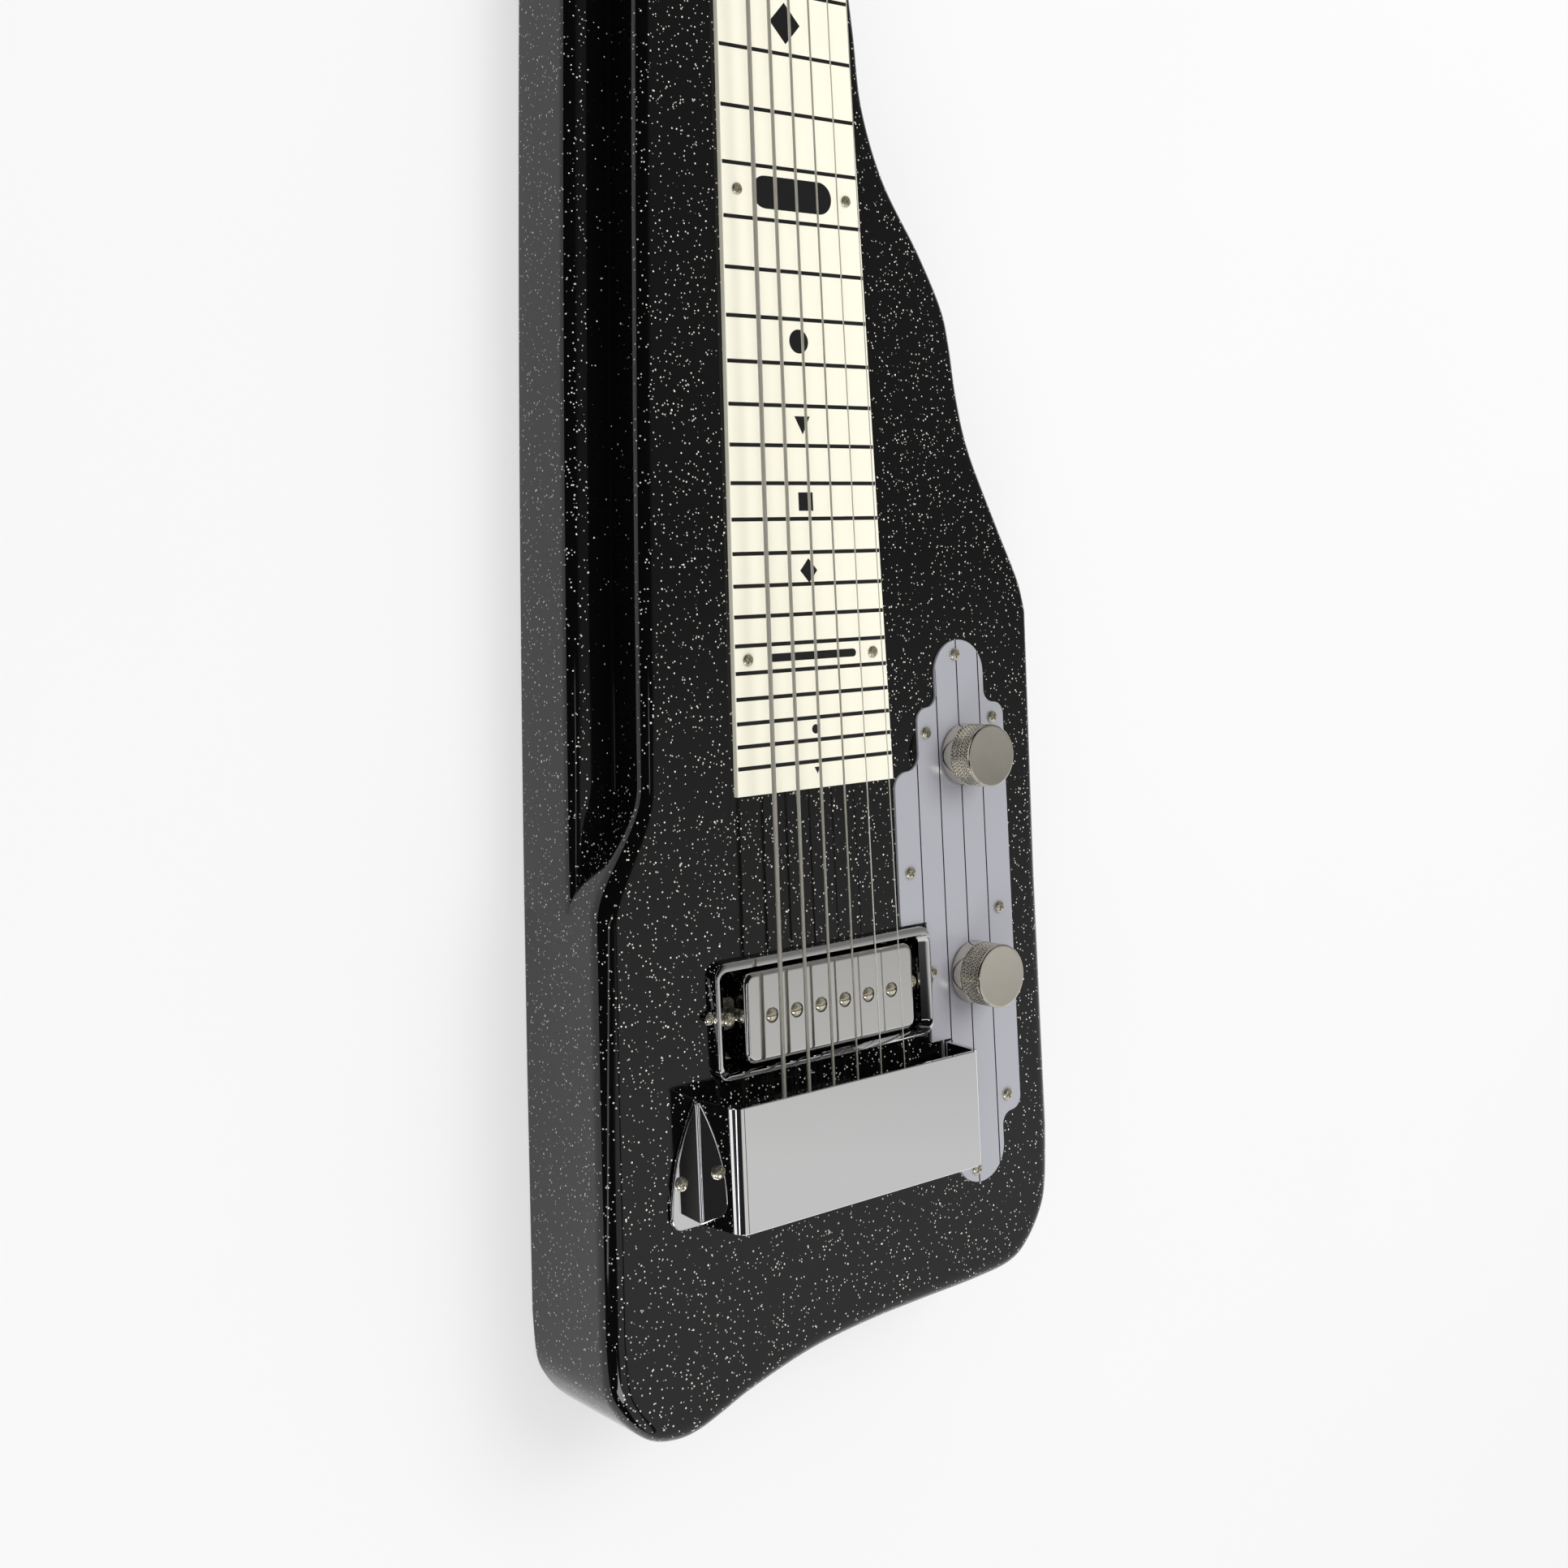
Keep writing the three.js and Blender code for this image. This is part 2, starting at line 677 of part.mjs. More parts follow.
function nut() {
  const floor = stringUnderside - seatGap;
  const top = floor + nutLip;
  const profile = new THREE.Shape();
  profile.moveTo(nutY, bodyTop);
  profile.lineTo(nutY + nutThickness, bodyTop);
  profile.absarc(nutY + nutThickness - nutRound, top - nutRound, nutRound, 0, Math.PI / 2, false);
  profile.lineTo(nutY, top);
  const cuts = [];
  for (let string = 1; string <= stringCount; string += 1) {
    const x = stringX(string, nutSpread);
    const half = gauge(string) / 2 + seatGap;
    cuts.push(block(x - half, x + half, nutY - overrun, nutY + nutThickness + overrun, floor, top + overrun));
  }
  return combine([drawnAlongX(profile, -nutWidth / 2, nutWidth / 2, 4)], cuts);
}

// Pickup

function polePlaces() {
  return Array.from({ length: stringCount }, (_, i) => stringX(i + 1, poleSpread));
}

function heightScrewPlaces() {
  const x = (coverLength + wellEnd) / 2;
  return [-x, x];
}

function pickupCover() {
  const top = bodyTop + coverRise;
  const low = top - coverDepth;
  const shell = (inset, from, to, round) => slab(
    roundRectangle(
      0, pickupY, coverLength - 2 * inset, coverWidth - 2 * inset, coverCornerRadius - inset, 3,
    ),
    from, to, 0, round, 2,
  );
  const cuts = [shell(coverWall, low - overrun, top - coverWall, coverEdgeRadius - coverWall)];
  for (const x of polePlaces()) {
    cuts.push(post(x, pickupY, top - coverWall - overrun, top + overrun, poleRadius + poleHoleGap, 10));
  }
  return combine([shell(0, low, top, coverEdgeRadius)], cuts);
}

// Base plate with an ear at each end, the bobbin and the six pole screws that stand through the cover.
function pickupCore() {
  const top = bodyTop + coverRise;
  const low = top - coverDepth;
  const bobbinTop = top - coverWall - seatGap;
  const plateEnd = ringOpeningLength / 2 - basePlateEarGap;
  const joined = [
    block(
      -coverLength / 2, coverLength / 2, pickupY - coverWidth / 2, pickupY + coverWidth / 2,
      low - basePlateThickness, low,
    ),
    block(
      -plateEnd, plateEnd, pickupY - basePlateEarWidth / 2, pickupY + basePlateEarWidth / 2,
      low - basePlateThickness, low,
    ),
    slab(
      roundRectangle(
        0, pickupY, coverLength - 2 * (coverWall + bobbinMargin), coverWidth - 2 * (coverWall + bobbinMargin),
        coverCornerRadius - coverWall, 3,
      ),
      low - basePlateThickness / 2, bobbinTop, 0, 0, 1,
    ),
  ];
  for (const x of polePlaces()) joined.push(post(x, pickupY, low, top + poleStand, poleRadius, 10));
  const cuts = heightScrewPlaces().map((x) => post(
    x, pickupY, low - basePlateThickness - overrun, low + overrun, heightScrewRadius + holeClearance, 12,
  ));
  return combine(joined, cuts);
}

function pickupRing() {
  const flangeTop = bodyTop + ringFlange;
  const rimTop = bodyTop + ringRimHeight;
  const outline = (inset) => roundRectangle(
    0, pickupY, ringLength - 2 * inset, ringWidth - 2 * inset, ringCornerRadius - inset, 3,
  );
  const tabs = [-1, 1].map((side) => post(
    side * (ringLength / 2 - ringTabRadius / 2), pickupY, bodyTop, flangeTop, ringTabRadius, 16,
  ));
  return combine(
    [slab(outline(0), bodyTop, flangeTop, 0, 0, 1), ...tabs,
      slab(outline(ringRimInset), bodyTop + ringFlange / 2, rimTop, 0, ringRimRound, 2)],
    [slab(pickupOpening(), bodyTop - overrun, rimTop + overrun, 0, 0, 1)],
  );
}

// The screw hangs from its head in the well beside the cover and reaches into the body.
function heightScrew(x) {
  const ear = bodyTop + coverRise - coverDepth;
  const headLow = bodyTop - heightScrewHeadThickness / 2;
  const tip = bodyTop - pickupPocketDepth - heightScrewHoleDepth + seatGap;
  const headTop = headLow + heightScrewHeadThickness;
  const screw = turned([
    [0, tip], [heightScrewRadius, tip + heightScrewRadius], [heightScrewRadius, headLow],
    [heightScrewHead, headLow], [heightScrewHead, headTop - heightScrewHeadThickness / 3], [0, headTop],
  ], 12);
  const collar = turned([
    [0, ear + seatGap], [heightScrewHead, ear + seatGap], [heightScrewHead, ear + seatGap * 2],
    [0, ear + seatGap * 2],
  ], 12);
  return combine([screw, collar]).translate(x, pickupY, 0);
}

// Bridge

function bridge() {
  const front = saddleY + bridgeFront;
  const back = saddleY - bridgeBack;
  const base = bodyTop + bridgeBase;
  const saddleTop = stringUnderside - seatGap;
  const anchorY = saddleY - anchorSetback;
  const anchorTop = bodyTop + anchorHeight;
  const profile = new THREE.Shape();
  profile.moveTo(back, bodyTop);
  profile.lineTo(front, bodyTop);
  profile.lineTo(front, base);
  profile.lineTo(saddleY + saddleRound, base);
  profile.absarc(saddleY, saddleTop - saddleRound, saddleRound, 0, Math.PI, false);
  profile.lineTo(saddleY - saddleRound, base);
  profile.lineTo(anchorY, base);
  profile.lineTo(anchorY, anchorTop);
  profile.lineTo(anchorY - anchorThickness, anchorTop);
  profile.lineTo(anchorY - anchorThickness, base);
  profile.lineTo(back, base);
  const cuts = [];
  for (let string = 1; string <= stringCount; string += 1) {
    const hole = post(0, 0, -anchorThickness - overrun, anchorThickness + overrun, anchorHoleRadius, 8);
    cuts.push(hole.rotateX(Math.PI / 2).translate(
      stringX(string, saddleSpread), anchorY - anchorThickness / 2, bodyTop + anchorHoleHeight,
    ));
  }
  return combine([drawnAlongX(profile, -bridgeWidth / 2, bridgeWidth / 2, 6)], cuts);
}

// Half-bullet foot beside the treble wall of the hand rest, anticlockwise, seen from above.
function earOutline(clearance) {
  const front = fromNut(handRestFromNut);
  const back = front - handRestLength;
  const wall = handRestWidth / 2;
  const points = [new THREE.Vector2(wall - handRestWall - clearance, front + clearance)];
  points.push(new THREE.Vector2(wall - handRestWall - clearance, back - clearance));
  const rounded = earTipWidth / 2;
  for (let step = 0; step <= 3; step += 1) {
    const angle = -Math.PI / 2 + (step / 3) * Math.PI / 2;
    points.push(new THREE.Vector2(
      wall + earWidth - rounded + (rounded + clearance) * Math.cos(angle),
      back + rounded + (rounded + clearance) * Math.sin(angle),
    ));
  }
  for (let step = 1; step <= 8; step += 1) {
    const angle = (step / 8) * Math.PI / 2;
    points.push(new THREE.Vector2(
      wall + earTipWidth + (earWidth - earTipWidth) * Math.cos(angle) + clearance,
      back + rounded + (handRestLength - rounded) * Math.sin(angle) + clearance * Math.sin(angle),
    ));
  }
  return points;
}

function mirrored(outline) {
  return outline.map((point) => new THREE.Vector2(-point.x, point.y)).reverse();
}

function bridgeCover() {
  const front = fromNut(handRestFromNut);
  const half = handRestWidth / 2;
  const top = bodyTop + handRestHeight;
  const channel = (inset, low) => {
    const shape = new THREE.Shape();
    const bend = handRestBend - inset;
    shape.moveTo(-half + inset, low);
    shape.lineTo(half - inset, low);
    shape.absarc(half - inset - bend, top - inset - bend, bend, 0, Math.PI / 2, false);
    shape.absarc(-half + inset + bend, top - inset - bend, bend, Math.PI / 2, Math.PI, false);
    return shape;
  };
  const drawn = (shape, from, to) => new THREE.ExtrudeGeometry(shape, {
    depth: to - from, bevelEnabled: false, curveSegments: 6,
  }).rotateX(Math.PI / 2).translate(0, to, 0);
  const earTop = bodyTop + earThickness;
  return combine(
    [
      drawn(channel(0, bodyTop), front - handRestLength, front),
      slab(earOutline(0), bodyTop, earTop, 0, 0, 1),
      slab(mirrored(earOutline(0)), bodyTop, earTop, 0, 0, 1),
    ],
    [drawn(channel(handRestWall, bodyTop - overrun), front - handRestLength - overrun, front + overrun)],
  );
}

// Control plate

// Half width of the plate on the open, treble side at a distance from the nut.
function plateReach(distance) {
  const out = THREE.MathUtils.smoothstep(distance, plateStepStart, plateStepEnd);
  const back = THREE.MathUtils.smoothstep(distance, plateLowStepStart, plateLowStepEnd);
  return THREE.MathUtils.lerp(plateTongue, plateHalfWidth, out - back);
}

function plateOutline() {
  const tongueTop = plateStepStart - plateStraight;
  const tongueBottom = plateLowStepEnd + plateLowStraight;
  const stops = (from, to) => Array.from({ length: 7 }, (_, i) => THREE.MathUtils.lerp(from, to, i / 6));
  const down = [...stops(plateStepStart, plateStepEnd), ...stops(plateLowStepStart, plateLowStepEnd)];
  const points = [];
  for (let step = 0; step <= 12; step += 1) {
    const angle = (step / 12) * Math.PI;
    points.push(new THREE.Vector2(
      plateCentre + plateTongue * Math.cos(angle), fromNut(tongueTop) + plateTongue * Math.sin(angle),
    ));
  }
  for (const distance of stops(plateStepStart, plateStepEnd)) {
    points.push(new THREE.Vector2(plateCentre - plateReach(distance), fromNut(distance)));
  }
  for (const [out, x, distance] of [
    [1, plateCentre - plateHalfWidth - plateFlankRadius, plateFlankStart],
    [-1, plateFlankLeft + plateFlankRadius, plateFlankEnd],
  ]) {
    for (let step = 0; step <= 4; step += 1) {
      const angle = (out > 0 ? step : 4 - step) * Math.PI / 8;
      const [across, down] = [plateFlankRadius * Math.cos(angle), plateFlankRadius * Math.sin(angle)];
      points.push(new THREE.Vector2(x + out * across, fromNut(distance + out * down)));
    }
  }
  const ringTop = pickupFromNut - ringWidth / 2 - plateClearance;
  points.push(new THREE.Vector2(plateFlankLeft, fromNut(ringTop)));
  points.push(new THREE.Vector2(plateCentre - plateHalfWidth, fromNut(ringTop)));
  for (const distance of stops(plateLowStepStart, plateLowStepEnd)) {
    points.push(new THREE.Vector2(plateCentre - plateReach(distance), fromNut(distance)));
  }
  for (let step = 0; step <= 12; step += 1) {
    const angle = Math.PI + (step / 12) * Math.PI;
    points.push(new THREE.Vector2(
      plateCentre + plateTongue * Math.cos(angle), fromNut(tongueBottom) + plateTongue * Math.sin(angle),
    ));
  }
  for (const distance of down.reverse()) {
    points.push(new THREE.Vector2(plateCentre + plateReach(distance), fromNut(distance)));
  }
  return distinct(points);
}

// The plate stops short of the pickup ring and is cut away round the foot of the hand rest.
function controlPlate() {
  const front = fromNut(handRestFromNut);
  const wall = handRestWidth / 2 - handRestWall - plateClearance;
  const cuts = [
    slab(earOutline(plateClearance), bodyTop - overrun, plateTopZ + overrun, 0, 0, 1),
    block(
      0, wall + overrun, front - handRestLength - overrun, front + plateClearance,
      bodyTop - overrun, plateTopZ + overrun,
    ),
    post(
      ringLength / 2 - ringTabRadius / 2, pickupY, bodyTop - overrun, plateTopZ + overrun,
      ringTabRadius + plateClearance, 20,
    ),
  ];
  for (const distance of [volumeFromNut, toneFromNut]) {
    cuts.push(post(
      plateCentre, fromNut(distance), bodyTop - overrun, plateTopZ + overrun,
      bushingRadius + holeClearance, 20,
    ));
  }
  return combine([slab(plateOutline(), bodyTop, plateTopZ, 0, 0, 1)], cuts);
}

// Controls

function knob(y) {
  const low = plateTopZ + knobLift;
  const top = low + knobHeight;
  const recessTop = low + knobRecess;
  const boreTop = top - knobRoof;
  const recess = knobRadius - knobWall;
  const bore = shaftRadius + seatGap;
  return weld(turned([
    [0, boreTop], [bore, boreTop], [bore, recessTop], [recess, recessTop], [recess, low],
    [knobRadius, low], [knobRadius, top - knobChamfer], [knobRadius - knobChamfer, top], [0, top],
  ], 24)).translate(plateCentre, y, 0);
}

function pot(y) {
  const bushingTop = plateTopZ + bushingHeight;
  const bore = shaftRadius + seatGap;
  const boreLow = bodyTop - potDepth / 2;
  const can = turned([
    [0, bodyTop - potDepth], [potRadius, bodyTop - potDepth], [potRadius, bodyTop],
    [bushingRadius, bodyTop], [bushingRadius, bushingTop], [bore, bushingTop], [bore, boreLow], [0, boreLow],
  ], 20);
  const lugZ = bodyTop - potDepth / 2;
  const lugs = [-1, 0, 1].map((place) => block(
    -potRadius - lugLength, -potRadius / 2, place * lugPitch - lugWidth / 2, place * lugPitch + lugWidth / 2,
    lugZ - lugThickness, lugZ,
  ));
  const turnedLugs = lugs.map((lug) => lug.rotateZ(Math.PI / 2));
  const tongue = post(0, 0, bodyTop - potDepth, bodyTop - potDepth / 2, potTongueRadius, 16);
  return combine([can, tongue, ...turnedLugs]).translate(plateCentre, y, 0);
}

function potShaft(y) {
  const low = bodyTop - potDepth / 2 + seatGap;
  const high = plateTopZ + knobLift + knobRecess + shaftGrip - seatGap;
  return weld(post(plateCentre, y, low, high, shaftRadius, 20));
}

function hexNut(bore, radius, low, high) {
  const outer = new THREE.CylinderGeometry(radius, radius, high - low, 6);
  return combine(
    [outer.rotateX(Math.PI / 2).translate(0, 0, (low + high) / 2)],
    [post(0, 0, low - overrun, high + overrun, bore, 20)],
  );
}

function potNut(y) {
  const nutGeometry = hexNut(bushingRadius + seatGap, potNutRadius, plateTopZ, plateTopZ + potNutHeight);
  return nutGeometry.translate(plateCentre, y, 0);
}

function capacitor() {
  const high = bodyTop - potDepth - seatGap;
  return weld(post(
    plateCentre, fromNut(toneFromNut), high - capacitorThickness, high, capacitorRadius, 16,
  ));
}

// Output jack: a sleeve through the treble side, with its flange and contact spring inside the body.
function outputJack() {
  const wallIn = trebleEdge - jackWall;
  const flangeLow = wallIn - jackFlangeThickness;
  const outEnd = trebleEdge + jackReach;
  const sleeve = turned([
    [jackBore, flangeLow - jackBack], [jackSleeveRadius, flangeLow - jackBack],
    [jackSleeveRadius, flangeLow], [jackFlangeRadius, flangeLow], [jackFlangeRadius, wallIn],
    [jackSleeveRadius, wallIn], [jackSleeveRadius, outEnd], [jackBore, outEnd],
    [jackBore, flangeLow - jackBack],
  ], 20).rotateY(Math.PI / 2);
  const spring = block(
    flangeLow - jackSpringLength, flangeLow, -jackSpringWidth / 2, jackSpringWidth / 2,
    jackSleeveRadius - jackSpringThickness / 2, jackSleeveRadius + jackSpringThickness / 2,
  );
  return combine([sleeve, spring]).translate(0, fromNut(jackFromNut), jackHeight);
}

function jackNut() {
  const ring = hexNut(jackSleeveRadius + seatGap, jackNutRadius, 0, jackNutThickness);
  return ring.rotateY(Math.PI / 2).translate(trebleEdge, fromNut(jackFromNut), jackHeight);
}

// Tuners: open worm gears on one strip for each side of the headstock

const stripLow = headBack - stripThickness;
const gearPitchRadius = gearTeeth * gearModule / 2;
const wormLead = Math.PI * gearModule;
const wormCrestRadius = wormPitchRadius + gearAddendum;
const wormZ = stripLow - wormDrop - wormCrestRadius;
const wormOffset = gearPitchRadius + wormPitchRadius;
const gearRootRadius = gearPitchRadius - gearAddendum - meshClearance;
const gearTipRadius = gearPitchRadius + gearAddendum;
const helixTurn = wormLead / (2 * Math.PI * wormPitchRadius * gearPitchRadius);

// Teeth that lean with the worm's thread, with a gap facing +Y where the thread passes.
function gear() {
  const ring = (z) => {
    const turn = helixTurn * z;
    const points = [];
    for (let tooth = 0; tooth < gearTeeth; tooth += 1) {
      const middle = Math.PI / 2 + ((tooth + 0.5) / gearTeeth) * 2 * Math.PI + turn;
      const foot = toothFoot / 2 / gearRootRadius;
      const tip = toothTip / 2 / gearTipRadius;
      for (const [angle, radius] of [
        [-foot, gearRootRadius], [-tip, gearTipRadius], [tip, gearTipRadius], [foot, gearRootRadius],
      ]) {
        points.push(new THREE.Vector3(
          radius * Math.cos(middle + angle), radius * Math.sin(middle + angle), wormZ + z,
        ));
      }
    }
    return points;
  };
  return skin([-gearThickness / 2, gearThickness / 2].map(ring));
}

// Post and gear in one piece: collar under the strip, waist for the string, domed top.
function tunerPost({ x, y }) {
  const low = wormZ - gearThickness / 2;
  const gearTop = wormZ + gearThickness / 2;
  const top = headFace + postHeight;
  const stem = turned([
    [0, low - stripThickness], [postRadius, low - stripThickness], [postRadius, gearTop - overrun / 2],
    [collarRadius, gearTop - overrun / 2], [collarRadius, stripLow - seatGap],
    [postRadius, stripLow - seatGap], [postRadius, headFace + waistBottom],
    [postWaist, headFace + waistBottom + postRadius - postWaist],
    [postWaist, headFace + waistTop - postRadius + postWaist], [postRadius, headFace + waistTop],
    [postRadius, top - postDome], [postRadius - postDome, top], [0, top],
  ], 10);
  return combine([gear(), stem]).translate(x, y, 0);
}

// One thread start wound round the core, with ring corners that follow the helix.
function tunerWorm({ x, y, side }) {
  const flank = wormFlankShare;
  const rootShare = 1 - wormCrestShare - 2 * flank;
  const phases = [
    [-wormCrestShare / 2, wormCrestRadius], [wormCrestShare / 2, wormCrestRadius],
    [wormCrestShare / 2 + flank, wormCoreRadius],
    [wormCrestShare / 2 + flank + rootShare / 3, wormCoreRadius],
    [wormCrestShare / 2 + flank + 2 * rootShare / 3, wormCoreRadius],
    [-wormCrestShare / 2 - flank + 1, wormCoreRadius],
  ];
  const ring = (place, twist, threaded) => phases.map(([share, radius]) => {
    const angle = 2 * Math.PI * share + twist;
    const reach = threaded ? radius : wormCoreRadius;
    return new THREE.Vector3(reach * Math.cos(angle), reach * Math.sin(angle), place);
  });
  const half = wormTurns * wormLead / 2;
  const inner = bearingInner + bearingThickness / 2 + overrun / 2;
  const outer = buttonStart + buttonGrip;
  const twistAt = (place) => Math.PI + 2 * Math.PI * place / wormLead;
  const rings = [];
  const [start, end] = side > 0 ? [-inner, outer] : [-outer, inner];
  rings.push(ring(start, twistAt(-half), false));
  rings.push(ring(-half - wormLead / wormRingsPerTurn, twistAt(-half), false));
  const steps = wormTurns * wormRingsPerTurn;
  for (let step = 0; step <= steps; step += 1) {
    const place = THREE.MathUtils.lerp(-half, half, step / steps);
    rings.push(ring(place, twistAt(place), true));
  }
  rings.push(ring(half + wormLead / wormRingsPerTurn, twistAt(half), false));
  rings.push(ring(end, twistAt(half), false));
  const spindle = skin(rings);
  // The ring angle is counted from +Y towards +Z about the shaft, which runs along X.
  const turn = new THREE.Matrix4().makeBasis(
    new THREE.Vector3(0, 1, 0), new THREE.Vector3(0, 0, 1), new THREE.Vector3(1, 0, 0),
  );
  return weld(spindle.applyMatrix4(turn)).translate(x, y + wormOffset, wormZ);
}

function tunerButton({ x, y, side }) {
  const half = buttonLength / 2;
  const start = side * buttonStart;
  const barrel = new THREE.SphereGeometry(1, 12, 8).scale(half, buttonRadius, buttonThickness / 2);
  const neck = rod(-half, 0, 0, 0, buttonThickness / 3, 8).scale(side, 1, 1);
  const socketEnd = -half + buttonGrip + seatGap;
  const socket = rod(-half - overrun, socketEnd, 0, 0, wormCoreRadius + seatGap, 8).scale(side, 1, 1);
  return combine([barrel, upright(neck, side)], [upright(socket, side)])
    .translate(x + start + side * half, y + wormOffset, wormZ);
}

// A mirrored cylinder has its faces turned inwards; this turns them out again.
function upright(geometry, side) {
  if (side > 0) return geometry;
  const welded = weld(geometry);
  welded.setIndex(Array.from(welded.index.array).reverse());
  return welded;
}

function tunerStrip(side) {
  const places = postPlaces().filter((place) => place.side === side);
  const firstY = nutY + firstPost;
  const length = (tunersPerSide - 1) * postPitch;
  const width = bearingInner + bearingOuter + bearingThickness + 2 * stripMargin;
  const outline = roundRectangle(
    side * (postRow + (bearingOuter - bearingInner) / 2), firstY + length / 2 + wormOffset / 2,
    width, length + 2 * stripOverhang, stripCorner, 3,
  );
  const joined = [slab(outline, stripLow, headBack, 0, 0, 1)];
  const cuts = [];
  for (const { x, y } of places) {
    const axisY = y + wormOffset;
    for (const offset of [side * bearingOuter, -side * bearingInner]) {
      joined.push(block(
        x + offset - bearingThickness / 2, x + offset + bearingThickness / 2,
        axisY - bearingWidth / 2, axisY + bearingWidth / 2,
        wormZ - wormCrestRadius, headBack - stripThickness / 2,
      ));
      cuts.push(rod(
        x + offset - overrun, x + offset + overrun, axisY, wormZ, wormCoreRadius + seatGap, 8,
      ));
    }
    cuts.push(post(x, y, stripLow - overrun, headBack + overrun, postRadius + seatGap, 12));
  }
  return combine(joined, cuts);
}

function postBushing({ x, y }) {
  const bore = postRadius + holeClearance;
  const wall = bore + postBushingWall - holeClearance / 2;
  const top = headFace + postBushingFlange;
  const low = headFace - postBushingDepth;
  return weld(turned([
    [bore, low], [wall, low], [wall, headFace], [postBushingRadius, headFace], [postBushingRadius, top],
    [bore, top], [bore, low],
  ], 12)).translate(x, y, 0);
}

// Strings

// A path through chosen stops, sampled at exactly those stops.
class StopPath extends THREE.Curve {
  constructor(stops) {
    super();
    this.stops = stops;
  }

  getPoint(t, target = new THREE.Vector3()) {
    const last = this.stops.length - 1;
    const index = Math.min(Math.floor(t * last + 1e-6), last);
    const next = Math.min(index + 1, last);
    const share = THREE.MathUtils.clamp(t * last - index, 0, 1);
    return target.lerpVectors(this.stops[index], this.stops[next], share);
  }

  getPointAt(t, target) {
    return this.getPoint(t, target);
  }

  getTangentAt(t, target = new THREE.Vector3()) {
    const last = this.stops.length - 1;
    const index = Math.round(t * last);
    const before = this.stops[Math.max(index - 1, 0)];
    const after = this.stops[Math.min(index + 1, last)];
    const into = new THREE.Vector3().subVectors(this.stops[index], before).normalize();
    const away = new THREE.Vector3().subVectors(after, this.stops[index]).normalize();
    return target.addVectors(into, away).normalize();
  }
}

// The centre line of a string: ball end, saddle, nut, then down and round its post.
function stringStops(string, place) {
  const radius = gauge(string) / 2;
  const saddleX = stringX(string, saddleSpread);
  const nutX = stringX(string, nutSpread);
  const level = stringUnderside + radius;
  const anchorY = saddleY - anchorSetback - anchorThickness - seatGap;
  const stops = [
    new THREE.Vector3(saddleX, anchorY - ballRadius, bodyTop + anchorHoleHeight),
    new THREE.Vector3(saddleX, saddleY - anchorSetback, bodyTop + anchorHoleHeight),
    new THREE.Vector3(saddleX, saddleY, level),
    new THREE.Vector3(nutX, nutY + nutThickness, level),
  ];
  const reach = postWaist + wrapClearance + radius;
  const from = new THREE.Vector2(nutX, nutY + nutThickness);
  const centre = new THREE.Vector2(place.x, place.y);
  const towards = centre.clone().sub(from);
  const bend = Math.asin(reach / towards.length());
  const direction = Math.atan2(towards.y, towards.x) + place.side * bend;
  const run = Math.sqrt(towards.lengthSq() - reach * reach);
  const heading = new THREE.Vector2(Math.cos(direction), Math.sin(direction));
  const touch = from.clone().add(heading.multiplyScalar(run));
  const first = Math.atan2(touch.y - centre.y, touch.x - centre.x);
  const pitch = gauge(string) + wrapGap;
  const high = headFace + waistTop - postRadius + postWaist - radius;
  const wraps = wrapTurns * wrapStepsPerTurn;
  for (let step = 0; step <= wraps; step += 1) {
    const share = step / wrapStepsPerTurn;
    const angle = first - place.side * 2 * Math.PI * share;
    stops.push(new THREE.Vector3(
      centre.x + reach * Math.cos(angle), centre.y + reach * Math.sin(angle), high - pitch * share,
    ));
  }
  return stops;
}

// The least distance between two stretches of a winding that lie half a turn or more apart.
function leastGap(stops, thickness) {
  let least = Infinity;
  const winding = stops.slice(4);
  winding.forEach((point, i) => {
    winding.slice(i + wrapStepsPerTurn / 2).forEach((other) => {
      least = Math.min(least, point.distanceTo(other) - thickness);
    });
  });
  return least;
}

function musicString(string) {
  const place = postPlaces()[string - 1];
  const radius = gauge(string) / 2;
  const stops = stringStops(string, place);
  console.log(`string ${string}: least gap of its winding ${leastGap(stops, gauge(string)).toFixed(2)} mm`);
  const section = new THREE.Shape();
  for (let side = 0; side < stringSides; side += 1) {
    const angle = (side / stringSides) * 2 * Math.PI;
    const [x, y] = [radius * Math.cos(angle), radius * Math.sin(angle)];
    if (side === 0) section.moveTo(x, y);
    else section.lineTo(x, y);
  }
  const wire = new THREE.ExtrudeGeometry(section, {
    steps: stops.length - 1, extrudePath: new StopPath(stops), bevelEnabled: false,
  });
  const ball = rod(
    stops[0].x - ballLength / 2, stops[0].x + ballLength / 2, stops[0].y, stops[0].z, ballRadius, 10,
  );
  return combine([wire, ball]);
}

// Assembly

const black = paint(0x121214, 0.12, 0);
const cream = paint(0xf3efda, 0.45, 0);
const chrome = paint(0xd8dade, 0.06, 1);
const nickel = paint(0xc9c4b6, 0.2, 1);
const satin = paint(0xb9b9c4, 0.35, 0.6);
const steel = paint(0xb8b6b0, 0.3, 1);
const dark = paint(0x222222, 0.5, 0);
const brown = paint(0x8a4b20, 0.5, 0);

const guitar = new THREE.Group();

function place(name, geometry, material) {
  const mesh = new THREE.Mesh(weld(geometry), material);
  mesh.name = name;
  guitar.add(mesh);
}

place('body', body(), black);
place('fretboard', fretboard(), cream);
place('nut', nut(), cream);
place('control_plate', controlPlate(), satin);
place('pickup_ring', pickupRing(), chrome);
place('pickup_cover', pickupCover(), chrome);
place('pickup_core', pickupCore(), steel);
heightScrewPlaces().forEach((x, i) => place(`height_screw_${i + 1}`, heightScrew(x), nickel));
place('bridge', bridge(), chrome);
place('bridge_cover', bridgeCover(), chrome);

